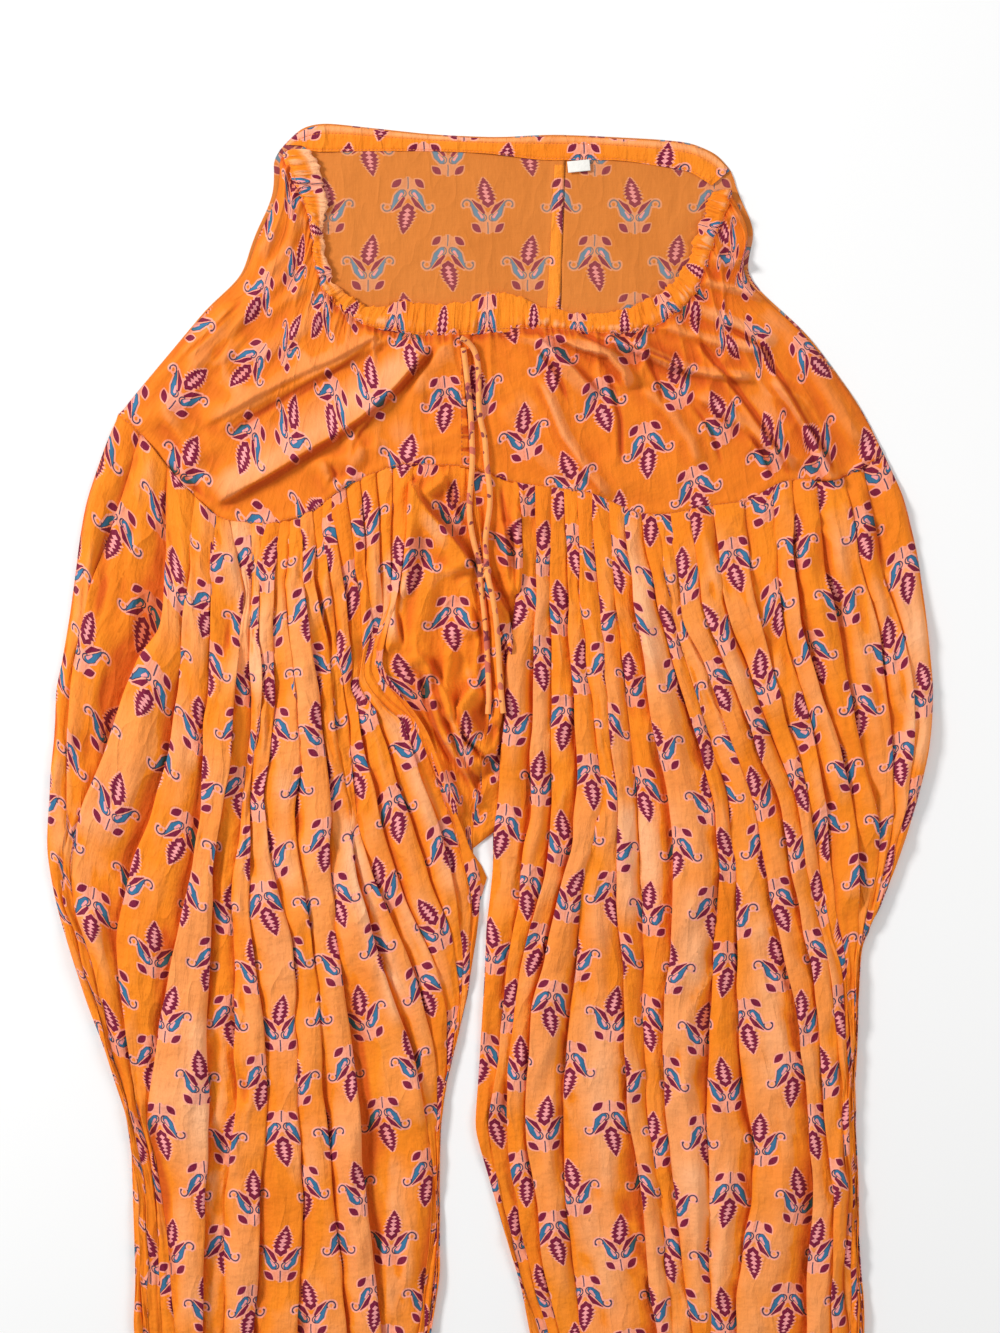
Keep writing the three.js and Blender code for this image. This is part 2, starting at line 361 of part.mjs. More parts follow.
// ---- back layer, flat on the surface ----
function waistTop(f) {          // the outer edge of the back waist, 0 at the left, 1 at the right
  const path = [[WAIST_EDGE.leftX, WAIST_EDGE.leftY], ...BACK_CASING.map((r) => {
    const d = Math.hypot(r.topX - r.lowX, r.topY - r.lowY);
    return [r.topX + (r.topX - r.lowX) / d * WAIST_EDGE.out, r.topY + (r.topY - r.lowY) / d * WAIST_EDGE.out];
  }), [WAIST_EDGE.rightX, WAIST_EDGE.rightY]];
  const at = f * (path.length - 1), i = Math.min(path.length - 2, Math.floor(at));
  return [lerp(path[i][0], path[i + 1][0], at - i), lerp(path[i][1], path[i + 1][1], at - i)];
}
const backSeamY = (x) => look(BACK_SEAM, 'x', x, 'y');
const CENTRE_BACK = { top: 56, low: 44, f: 8 / 14 };       // centre-back seam and its place along the waist
function yokeBack(name, fromF, toF, lowFrom, lowTo, side) {
  const count = 8;
  const rows = BELT_ROWS.map((t) => Array.from({ length: count + 1 }, (_, c) => {
    const f = c / count, top = waistTop(lerp(fromF, toF, f)), lowX = lerp(lowFrom, lowTo, f);
    const edge = side < 0 ? c === 0 : c === count;
    let x = lerp(top[0], lowX, t), y = lerp(top[1], backSeamY(lowX) + half, t);
    if (side < 0 && c === count) x -= half;
    if (side > 0 && c === 0) x += half;
    if (edge && t > 0 && t < 1) x = side < 0 ? outlineLeft(y) : outlineRight(y);
    return [x, y, BACK_Z];
  }));
  return wall(name, rows, WRONG_SIDE);
}
const yokeBackLeft = yokeBack('yoke_back_left', 0, CENTRE_BACK.f, SEAM[0].x, CENTRE_BACK.low, -1);
const yokeBackRight = yokeBack('yoke_back_right', CENTRE_BACK.f, 1, CENTRE_BACK.low, SEAM[SEAM.length - 1].x, 1);

function legBack(topFrom, topTo, lowAt, highAt) {
  const count = 6;
  return BACK_ROWS.map((t) => Array.from({ length: count + 1 }, (_, c) => {
    const topX = lerp(topFrom, topTo, c / count), y = lerp(backSeamY(topX) - half, CUFF_TOP + SEAM_GAP, t);
    const x = t === 0 ? topX : lerp(lowAt(y), highAt(y), c / count);
    return [x, y, BACK_Z];
  }));
}
const tip = (y) => (BACK_TIP.x - innerLeft(BACK_TIP.y)) * Math.max(0, 1 - Math.abs(y - BACK_TIP.y) / BACK_TIP.tall);
const leftBack = legBack(SEAM[0].x, INNER[0].left - half, outlineLeft, (y) => innerLeft(y) - half + tip(y));
const rightBack = legBack(INNER[0].right + half, SEAM[SEAM.length - 1].x, (y) => innerRight(y) + half, outlineRight);
const legBackLeft = wall('leg_back_left', leftBack, ORANGE);
const legBackRight = wall('leg_back_right', rightBack, ORANGE);
const goreBackLeft = wall('gore_back_left', goreRows(leftBack, BACK_ROWS, -1, [0, 0.5, 1], backSeamY, () => BACK_Z), ORANGE);
const goreBackRight = wall('gore_back_right', goreRows(rightBack, BACK_ROWS, 1, [0, 0.5, 1], backSeamY, () => BACK_Z), ORANGE);

// ---- casing ----
const casingBack = wall('casing_back', [0, 0.5, 1].map((t) => BACK_CASING.map((r) => [lerp(r.topX, r.lowX, t), lerp(r.topY, r.lowY, t), FRONT_Z])), WRONG_SIDE);

// Rings of a body that is bent along a path, closed with flat ends.
function loft(name, rings, colour) {
  const n = rings[0].length, points = rings.flat(), faces = [];
  for (let r = 0; r + 1 < rings.length; r++) for (let k = 0; k < n; k++) {
    const a = r * n + k, b = r * n + (k + 1) % n, c = a + n, d = b + n;
    faces.push([a, d, c], [a, b, d]);
  }
  const last = (rings.length - 1) * n;
  for (let k = 1; k + 1 < n; k++) faces.push([0, k + 1, k], [last, last + k, last + k + 1]);
  return meshOf(name, points, faces, colour);
}
const CASING_SECTION = [
  { across: 0, high: 0.5 }, { across: 0.12, high: 0.93 }, { across: 0.5, high: 1 }, { across: 0.88, high: 0.93 },
  { across: 1, high: 0.5 }, { across: 0.88, high: 0.05 }, { across: 0.5, high: 0 }, { across: 0.12, high: 0.05 },
];
const casingRings = [];
const stations = (CASING.length - 1) * 2;
for (let i = 0; i <= stations; i++) {
  const [ix, iy, ox, oy] = casingAt(i / 2);
  const high = CASING_HIGH + (i % 2 ? -GATHER : GATHER) / 2;
  casingRings.push(CASING_SECTION.map((p) => [lerp(ix, ox, p.across), lerp(iy, oy, p.across), CLOTH + LAYER_GAP + high * p.high]));
}
const casingFront = loft('casing_front', casingRings, ORANGE);

// ---- cuffs: flattened tubes, open at both ends ----
function cuff(name, xLow, xHigh) {
  const turn = CUFF_HIGH / 2, section = (inset) => {
    const r = turn - inset, ring = [];
    for (const [x, from] of [[xHigh - turn, -90], [xLow + turn, 90]]) for (let a = 0; a <= 180; a += 36) {
      const w = (from + a) * Math.PI / 180;
      ring.push([x + r * Math.cos(w), turn + r * Math.sin(w)]);
    }
    return ring;
  };
  const outer = section(0), inner = section(CLOTH), n = outer.length, points = [], faces = [];
  for (const y of [CUFF_TOP - SEAM_GAP / 2, HEM]) { for (const p of outer) points.push([p[0], y, p[1]]); for (const p of inner) points.push([p[0], y, p[1]]); }
  for (let k = 0; k < n; k++) {
    const j = (k + 1) % n, low = 2 * n;
    faces.push([k, low + j, low + k], [k, j, low + j]);                         // outside
    faces.push([n + k, low + n + k, low + n + j], [n + k, low + n + j, n + j]);  // inside
    faces.push([k, n + k, n + j], [k, n + j, j]);                                // upper rim
    faces.push([low + k, low + n + j, low + n + k], [low + k, low + j, low + n + j]);
  }
  return meshOf(name, points, faces, ORANGE);
}
const cuffLeft = cuff('cuff_left', outlineLeft(HEM), innerLeft(HEM));
const cuffRight = cuff('cuff_right', innerRight(HEM), outlineRight(HEM));

// ---- size tag, blank ----
const tagRows = [0.5, -0.5].map((v) => [-0.5, 0, 0.5].map((u) => {
  const x = u * TAG.long, y = v * TAG.wide, c = Math.cos(TAG.turn), s = Math.sin(TAG.turn);
  return [TAG.x + x * c - y * s, TAG.y + x * s + y * c, CLOTH + LAYER_GAP + TAG.thick / 2];
}));
const sizeTag = wall('size_tag', tagRows, WHITE, TAG.thick);

// ---- drawstring ----
// The string lies on the cloth: each point is lifted clear of the highest cloth near it.
function lift(x, y, r) {
  let z = 0;
  for (let a = 0; a < 8; a++) z = Math.max(z, topAt(x + r * Math.cos(a * Math.PI / 4), y + r * Math.sin(a * Math.PI / 4)));
  return Math.max(z, topAt(x, y)) + LAYER_GAP + r;
}
const octagon = new THREE.Shape(Array.from({ length: 8 }, (_, k) => new THREE.Vector2(STRING_R * Math.cos(k * Math.PI / 4), STRING_R * Math.sin(k * Math.PI / 4))));
function string(name) {
  const path = STRING_ROUTES[name].map(([x, y]) => [x, y, lift(x, y, STRING_R)]);
  for (let pass = 0; pass < 2; pass++) for (let i = 1; i + 1 < path.length; i++) path[i][2] = Math.max(path[i][2], (path[i - 1][2] + path[i + 1][2]) / 2);
  const curve = new THREE.CatmullRomCurve3(path.map((p) => new THREE.Vector3(...p)));
  const geometry = new THREE.ExtrudeGeometry(octagon, { steps: STRING_STEPS[name], bevelEnabled: false, extrudePath: curve });
  const mesh = new THREE.Mesh(geometry, new THREE.MeshStandardMaterial({ color: STRING, roughness: 0.9, metalness: 0 }));
  mesh.name = name;
  return mesh;
}
const strings = Object.keys(STRING_ROUTES).map(string);
const knotGeometry = new THREE.IcosahedronGeometry(KNOT_R, 1);
const knot = new THREE.Mesh(knotGeometry, new THREE.MeshStandardMaterial({ color: STRING, roughness: 0.9, metalness: 0 }));
knot.name = 'string_knot';
knot.position.set(KNOT.x, KNOT.y, lift(KNOT.x, KNOT.y, KNOT_R) + 0.4);

const garment = new THREE.Group();
garment.add(
  yokeFrontLeft, yokeFrontRight, yokeBackLeft, yokeBackRight, casingFront, casingBack,
  legFrontLeft, legFrontRight, legBackLeft, legBackRight,
  goreFrontLeft, goreFrontRight, goreBackLeft, goreBackRight,
  cuffLeft, cuffRight, ...strings, knot, sizeTag,
);
garment.position.set(-MIDDLE.x, -MIDDLE.y, 0);
export default garment;
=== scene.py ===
import math

import bpy
import numpy as np
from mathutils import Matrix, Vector
from mathutils.bvhtree import BVHTree


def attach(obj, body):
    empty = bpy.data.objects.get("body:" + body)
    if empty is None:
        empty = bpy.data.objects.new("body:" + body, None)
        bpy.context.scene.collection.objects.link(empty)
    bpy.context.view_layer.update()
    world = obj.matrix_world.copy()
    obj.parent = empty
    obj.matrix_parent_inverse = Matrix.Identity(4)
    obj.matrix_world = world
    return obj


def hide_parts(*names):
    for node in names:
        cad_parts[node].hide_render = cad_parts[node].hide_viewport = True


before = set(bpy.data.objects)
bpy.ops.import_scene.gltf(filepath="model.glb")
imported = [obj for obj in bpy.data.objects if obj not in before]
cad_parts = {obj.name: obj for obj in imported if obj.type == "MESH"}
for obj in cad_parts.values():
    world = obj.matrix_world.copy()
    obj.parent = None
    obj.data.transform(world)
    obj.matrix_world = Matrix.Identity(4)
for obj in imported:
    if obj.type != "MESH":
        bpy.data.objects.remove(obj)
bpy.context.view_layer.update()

# ---------------------------------------------------------------- frame of the garment
MIDDLE = (0.447, 1.382)          # mm, middle of the outline, which is the row frame's origin
MM = 0.8                         # mm of cloth for one pixel of the picture


def px(points):
    """Picture pixels to garment millimetres."""
    p = np.array(points, float).reshape(-1, 2)
    return np.stack([(p[:, 0] - 490) * MM, (815 - p[:, 1]) * MM], 1)


def to_row(p):
    """Garment millimetres to the row frame, in metres."""
    p = np.array(p, float)
    q = p / 1000
    q[..., 0] -= MIDDLE[0] / 1000
    q[..., 1] -= MIDDLE[1] / 1000
    return q


# ---------------------------------------------------------------- camera first
cam_data = bpy.data.cameras.new("Camera")
camera = bpy.data.objects.new("Camera", cam_data)
bpy.context.scene.collection.objects.link(camera)
HEIGHT = 2.7
view_mid = to_row([8.0, 118.8])
camera.location = (view_mid[0], view_mid[1], HEIGHT)
camera.rotation_euler = (0, 0, 0)
cam_data.sensor_fit = "AUTO"
cam_data.sensor_width = 36
cam_data.lens = 36 * (HEIGHT - 0.006) / 1.0664
cam_data.clip_start, cam_data.clip_end = 0.05, 50
bpy.context.scene.camera = camera

# ---------------------------------------------------------------- tables, in garment millimetres
OUTLINE = [(530.4, -170.4, 190.4), (520, -174.4, 192.8), (503.2, -172, 196), (488, -176.8, 203.2), (468, -187.2, 213.6),
           (450.4, -193.6, 208), (431.2, -197.6, 204), (408, -225.6, 228.8), (388, -241.6, 252), (348, -275.2, 282.4),
           (320, -298.4, 300.8), (288, -310.4, 316), (248, -324, 333.6), (208, -330.4, 343.2), (156, -337.6, 350.4),
           (100, -347.2, 356), (52, -350.4, 352.8), (12, -352.8, 343.2), (-26.4, -356, 331.2), (-52, -352, 321.6),
           (-72, -348, 312), (-92, -342.4, 297.6), (-132, -329.6, 296), (-172, -315.2, 294.4), (-212, -300.8, 292),
           (-252, -288, 292.8), (-292, -287.2, 295.2), (-348, -284, 295.2), (-414.4, -285.6, 300.8), (-456, -279.2, 292.8),
           (-500, -246.4, 248.8), (-552, -246.4, 248.8)]
INNER = [(276, -60.8, 21.6), (236, -64, 24), (204, -68, 24), (172, -73.6, 19.2), (140, -83.2, 14.4), (117.6, -87.2, 12),
         (92, -68, 11.2), (68, -49.6, 10.4), (44, -40.8, 7.2), (12, -31.2, 5.6), (-14.4, -20, 1.6), (-29.6, -14.4, 2.4),
         (-48.8, -6.4, 1.6), (-72, -8, -0.8), (-92, -9.6, -3.2), (-132, -16, -4.8), (-172, -24, -7.2), (-212, -34.4, -9.6),
         (-252, -39.2, -12), (-292, -40, -0.8), (-332, -40, 10.4), (-372, -40.8, 23.2), (-414.4, -48, 32),
         (-456, -54.4, 40), (-500, -81.6, 84), (-552, -81.6, 84)]
CROTCH = [(279.2, -14.4), (236, -9.6), (192, -4.8), (140, -2.4), (100, -0.8), (69.6, -0.8), (46.4, -7.2), (20, -6.4),
          (2.4, -12.8), (-24.8, -13.6), (-40, -13.8)]
SEAM = [(-298.4, 320), (-278.4, 303.2), (-264, 284.8), (-253.6, 271.2), (-235.2, 252), (-215.2, 234.4), (-176, 231.2),
        (-144.8, 240), (-112.8, 264), (-75.2, 279.2), (-41.6, 279.2), (-14.4, 277.6), (22.4, 264), (80.8, 256.8),
        (116.8, 240), (139.2, 238.4), (172.8, 245.6), (207.2, 249.6), (229.6, 264), (247.2, 268), (274.4, 266.4),
        (297.6, 276), (316, 288)]
BACK_SEAM = [(-298.4, 320), (-224, 303.2), (-128, 295.2), (0, 292), (128, 290.4), (240, 290.4), (316, 288)]
CASING = [(-147.2, 534.4, -167.2, 532), (-136, 519.2, -160.8, 514.4), (-132.8, 500, -154.4, 498.4), (-132, 480, -144.8, 482.4),
          (-132, 460, -143.2, 461.6), (-131.2, 439.2, -141.6, 440.8), (-124.8, 421.6, -134.4, 415.2), (-110.4, 412, -117.6, 399.2),
          (-92, 407.2, -97.6, 389.6), (-72.8, 408.8, -74.4, 386.4), (-49.6, 412, -51.2, 381.6), (-28, 410.4, -28, 383.2),
          (-8, 415.2, -9.6, 384.8), (12.8, 419.2, 12.8, 386.4), (34.4, 409.6, 36, 388), (56.8, 401.6, 57.6, 386.4),
          (80, 400.8, 81.6, 384.8), (102.4, 403.2, 104, 383.2), (120.8, 408.8, 126.4, 386.4), (136, 416.8, 145.6, 397.6),
          (148.8, 428, 164.8, 413.6), (156.8, 442.4, 174.4, 436), (163.2, 460, 178.4, 455.2), (170.4, 477.6, 185.6, 472.8),
          (176.8, 489.6, 192, 487.2), (179.2, 500, 194.4, 501.6)]
FAN = [(-298.4, 0), (-278.4, 1.2), (-253.6, 2.8), (-235.2, 3.8), (-215.2, 4.8), (-176, 6), (-144.8, 7), (-112.8, 7.9),
       (-75.2, 9.2), (-41.6, 10.2), (-14.4, 11.2), (22.4, 12.6), (80.8, 15), (116.8, 16.6), (139.2, 17.6), (172.8, 19),
       (207.2, 20.3), (229.6, 21.2), (247.2, 22), (274.4, 23.4), (297.6, 24.4), (316, 25)]
BACK_CASING = [(-164, 536.8, -148.8, 536), (-150.4, 549.6, -143.2, 531.2), (-133.6, 553.6, -128, 531.2),
               (-97.6, 549.6, -96, 532), (-48, 544, -48, 532), (6.4, 541.6, 0, 530.4), (43.2, 544, 40, 524),
               (74.4, 543.2, 74.4, 524.8), (104.8, 541.6, 104.8, 524.8), (135.2, 540, 135.2, 520),
               (160.8, 537.6, 160, 516), (180.8, 528.8, 169.6, 509.6), (192, 516, 177.6, 504)]
CUFF_TOP, HEM, CUFF_HIGH = -500.3, -552.0, 5.2
CROTCH_TOP = -14.4
THREAD = 0.35                    # mm, modelled thickness of the cotton
TAG = dict(x=71.2, y=518.6, long=18, wide=9, turn=0.07)

# ---------------------------------------------------------------- numbers
lerp = lambda a, b, f: a + (b - a) * f


def ease(f):
    f = np.clip(f, 0, 1)
    return f * f * (3 - 2 * f)


def blur(a, sigma, axis=-1):
    """Gaussian blur along one axis, with the ends repeated."""
    n = max(1, int(math.ceil(sigma * 3)))
    k = np.exp(-0.5 * (np.arange(-n, n + 1) / sigma) ** 2)
    k /= k.sum()
    a = np.moveaxis(a, axis, -1)
    pad = np.concatenate([np.repeat(a[..., :1], n, -1), a, np.repeat(a[..., -1:], n, -1)], -1)
    out = sum(k[i] * pad[..., i:i + a.shape[-1]] for i in range(2 * n + 1))
    return np.moveaxis(out, -1, axis)


def curve(xs, ys, soft=5.0):
    """A smooth function through a table."""
    xs, ys = np.array(xs, float), np.array(ys, float)
    if xs[0] > xs[-1]:
        xs, ys = xs[::-1], ys[::-1]
    grid = np.linspace(xs[0], xs[-1], 1600)
    val = np.interp(grid, xs, ys)
    step = grid[1] - grid[0]
    line = val[0] + (val[-1] - val[0]) * (grid - grid[0]) / (grid[-1] - grid[0])
    low = blur(val - line, max(soft / step, 0.6)) + line
    fade = ease((grid - grid[0]) / (2 * soft)) * ease((grid[-1] - grid) / (2 * soft))
    val = lerp(val, low, fade)
    return lambda x: np.interp(x, grid, val)


out_left = curve([r[0] for r in OUTLINE], [r[1] for r in OUTLINE], 9)
out_right = curve([r[0] for r in OUTLINE], [r[2] for r in OUTLINE], 9)
in_left = curve([r[0] for r in INNER], [r[1] for r in INNER], 6)
in_right = curve([r[0] for r in INNER], [r[2] for r in INNER], 6)
crotch_x = curve([r[0] for r in CROTCH], [r[1] for r in CROTCH], 4)
seam_y = curve([r[0] for r in SEAM], [r[1] for r in SEAM], 6)
back_seam_y = curve([r[0] for r in BACK_SEAM], [r[1] for r in BACK_SEAM], 6)
fan_s = curve([r[0] for r in FAN], [r[1] for r in FAN], 6)
casing_cols = [curve(range(26), [r[i] for r in CASING], 0.45) for i in range(4)]


def lattice(ix, iy, seed):
    h = (ix * 374761393 + iy * 668265263 + seed * 1442695041) & 0xFFFFFFFF
    h = ((h ^ (h >> 13)) * 1274126177) & 0xFFFFFFFF
    return ((h ^ (h >> 16)) & 0xFFFFFF) / float(0xFFFFFF)


def noise(x, y, seed):
    """Smooth noise from -1 to 1, the same each run."""
    x, y = np.broadcast_arrays(np.asarray(x, float), np.asarray(y, float))
    ix, iy = np.floor(x).astype(np.int64), np.floor(y).astype(np.int64)
    fx, fy = x - ix, y - iy
    fx, fy = fx * fx * (3 - 2 * fx), fy * fy * (3 - 2 * fy)
    a, b = lattice(ix, iy, seed), lattice(ix + 1, iy, seed)
    c, d = lattice(ix, iy + 1, seed), lattice(ix + 1, iy + 1, seed)
    return 2 * lerp(lerp(a, b, fx), lerp(c, d, fx), fy) - 1


def crinkle(u, v, seed, across=9.0, along=60.0, high=0.7):
    """Long soft creases that run along v, in millimetres of cloth."""
    bend = 5 * noise(u / 60, v / 45, seed + 7)
    a = noise((u + bend) / across, v / along, seed)
    b = noise((u + bend) / (across * 0.47), v / (along * 0.6), seed + 1)
    c = noise(u / 14, v / 16, seed + 2)
    return high * ((1 - np.abs(a)) ** 2 * 1.1 - 0.45 + 0.35 * b + 0.3 * c)


def ridge(X, Y, points, high, left, right, ends=(14, 14)):
    """Height of a fold that follows picture points: left and right are its widths in mm, seen along its direction."""
    p = px(points)
    seg = np.diff(p, axis=0)
    ln = np.linalg.norm(seg, axis=1)
    start = np.concatenate([[0], np.cumsum(ln)])
    best = np.full(X.shape, 1e9)
    side, along = np.zeros(X.shape), np.zeros(X.shape)
    for i in range(len(seg)):
        rx, ry = X - p[i, 0], Y - p[i, 1]
        t = np.clip((rx * seg[i, 0] + ry * seg[i, 1]) / ln[i] ** 2, 0, 1)
        dx, dy = rx - t * seg[i, 0], ry - t * seg[i, 1]
        d = np.hypot(dx, dy)
        near = d < best
        best = np.where(near, d, best)
        side = np.where(near, seg[i, 0] * ry - seg[i, 1] * rx, side)
        along = np.where(near, start[i] + t * ln[i], along)
    width = np.where(side > 0, left, right)
    fade = ease(along / max(ends[0], 0.1)) * ease((start[-1] - along) / max(ends[1], 0.1))
    return high * np.exp(-((best / width) ** 2)) * fade


# ---------------------------------------------------------------- meshes
FRONTS = []                      # upper surfaces, for laying the string on


SHEETS = []                      # worked out first, made after the cords


def surface(P, wrap=False):
    """Real area of a grid of points in mm, in square metres."""
    Q = np.concatenate([P, P[:, :1]], 1) if wrap else P
    a = np.cross(Q[1:, :-1] - Q[:-1, :-1], Q[:-1, 1:] - Q[:-1, :-1])
    b = np.cross(Q[1:, 1:] - Q[1:, :-1], Q[1:, 1:] - Q[:-1, 1:])
    return float(np.linalg.norm(a, axis=2).sum() + np.linalg.norm(b, axis=2).sum()) / 2e6


def lay(name, P, UV, mat, slot, nodes, held, rests, thick=THREAD, wrap=False, pale=None, solid=True, size=None, area=None):
    SHEETS.append(dict(name=name, P=P, UV=UV, mat=mat, slot=slot, nodes=nodes, held=held, rests=rests, thick=thick,
                       wrap=wrap, pale=pale, solid=solid, size=size, area=area))
    FRONTS.append((to_row(P), P.shape[0], P.shape[1], wrap))


def make(q):
    obj = grid_mesh(q["name"], q["P"], q["UV"], q["thick"], q["wrap"], q["pale"], q["solid"])
    obj.data.materials.append(q["mat"])
    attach(obj, "root")
    if q["nodes"]:
        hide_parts(*q["nodes"])
    UV = q["UV"]
    wide, long = (np.ptp(UV[..., 0]) / 1000, np.ptp(UV[..., 1]) / 1000) if q["size"] is None else q["size"]
    real = surface(q["P"], q["wrap"]) / (2 if q["wrap"] and not q["solid"] else 1) if q["area"] is None else q["area"]
    if real < 0.4 * wide * long:                  # a wedge: its flat width is the mean one
        wide = real / (0.6 * long)
    return obj


def grid_mesh(name, P, UV, thick=THREAD, wrap=False, pale=None, solid=True):
    """A cloth shell from rows of points in mm, rows down the garment and columns to the right; UV in mm of flat cloth."""
    R, C = P.shape[:2]
    du = np.gradient(P, axis=1)
    if wrap:
        du = (np.roll(P, -1, 1) - np.roll(P, 1, 1)) / 2
    dv = np.gradient(P, axis=0)
    n = np.cross(dv, du)
    n /= np.maximum(np.linalg.norm(n, axis=2, keepdims=True), 1e-9)
    layers = [P, P - n * thick] if solid else [P]
    co = to_row(np.concatenate([a.reshape(-1, 3) for a in layers]))
    N = R * C
    cols = C if wrap else C - 1
    r, c = np.meshgrid(np.arange(R - 1), np.arange(cols), indexing="ij")
    c2 = (c + 1) % C
    a, b, d, e = r * C + c, (r + 1) * C + c, (r + 1) * C + c2, r * C + c2
    top = np.stack([a, b, d, e], -1).reshape(-1, 4)
    uv_top = np.stack([UV[r, c], UV[r + 1, c], UV[r + 1, c + 1] if wrap else UV[r + 1, c2], UV[r, c + 1] if wrap else UV[r, c2]], -2).reshape(-1, 4, 2)
    faces, uvs = [top], [uv_top]
    if solid:
        faces.append(top[:, ::-1] + N)
        uvs.append(uv_top[:, ::-1])
        rim = []
        for cc in range(cols):
            k = (cc + 1) % C
            rim.append((cc + 0, k, k + N, cc + N))
            b0 = (R - 1) * C
            rim.append((b0 + k, b0 + cc, b0 + cc + N, b0 + k + N))
        if not wrap:
            for rr in range(R - 1):
                rim.append(((rr + 1) * C, rr * C, rr * C + N, (rr + 1) * C + N))
                rim.append((rr * C + C - 1, (rr + 1) * C + C - 1, (rr + 1) * C + C - 1 + N, rr * C + C - 1 + N))
        rim = np.array(rim)
        flat = UV[:, :C].reshape(-1, 2)
        faces.append(rim)
        uvs.append(flat[rim % N])
    faces, uvs = np.concatenate(faces), np.concatenate(uvs)
    mesh = bpy.data.meshes.new(name)
    mesh.vertices.add(len(co))
    mesh.vertices.foreach_set("co", co.ravel())
    mesh.loops.add(faces.size)
    mesh.loops.foreach_set("vertex_index", faces.ravel())
    mesh.polygons.add(len(faces))
    mesh.polygons.foreach_set("loop_start", np.arange(len(faces)) * 4)
    mesh.polygons.foreach_set("loop_total", np.full(len(faces), 4))
    mesh.update(calc_edges=True)
    layer = mesh.uv_layers.new(name="Cloth")
    layer.data.foreach_set("uv", (uvs / 1000).ravel())
    # painted light per point: above 0 a painted highlight, below 0 painted shade
    if pale is not None:
        att = mesh.attributes.new("Pale", "FLOAT", "POINT")
        value = np.concatenate([pale.ravel()] * len(layers)).astype(np.float32)
        att.data.foreach_set("value", value)
    mesh.polygons.foreach_set("use_smooth", np.ones(len(faces), bool))
    mesh.update()
    mesh.validate()
    obj = bpy.data.objects.new(name, mesh)
    bpy.context.scene.collection.objects.link(obj)
    return obj


# ---------------------------------------------------------------- materials
class Tree:
    """Short hand for shader nodes."""

    def __init__(self, tree):
        self.t = tree

    def node(self, kind, **props):
        n = self.t.nodes.new(kind)
        for k, v in props.items():
            setattr(n, k, v)
        return n

    def put(self, socket, value):
        if isinstance(value, bpy.types.NodeSocket):
            self.t.links.new(value, socket)
        else:
            socket.default_value = value

    def m(self, op, a, b=None, c=None, clamp=False):
        n = self.node("ShaderNodeMath", operation=op, use_clamp=clamp)
        for i, v in enumerate((a, b, c)):
            if v is not None:
                self.put(n.inputs[i], v)
        return n.outputs[0]

    def curve(self, value, points, low=0.0, high=1.0):
        n = self.node("ShaderNodeFloatCurve")
        c = n.mapping.curves[0]
        n.mapping.use_clip = False
        while len(c.points) < len(points):
            c.points.new(0.5, 0.5)
        for p, (x, y) in zip(c.points, points):
            p.location = (x, y)
            p.handle_type = "AUTO"
        n.mapping.update()
        self.put(n.inputs["Value"], value)
        return n.outputs[0]

    def mix(self, f, a, b):
        n = self.node("ShaderNodeMix", data_type="RGBA")
        self.put(n.inputs[0], f)
        self.put(n.inputs[6], a)
        self.put(n.inputs[7], b)
        return n.outputs[2]

    def noise(self, vector, scale, detail=2.0, rough=0.5):
        n = self.node("ShaderNodeTexNoise")
        n.inputs["Scale"].default_value = scale
        n.inputs["Detail"].default_value = detail
        n.inputs["Roughness"].default_value = rough
        self.put(n.inputs["Vector"], vector)
        return n.outputs["Fac"]


def rgb(r, g, b):
    f = lambda x: ((x / 255) / 12.92) if x / 255 <= 0.04045 else (((x / 255) + 0.055) / 1.055) ** 2.4
    return (f(r), f(g), f(b), 1.0)


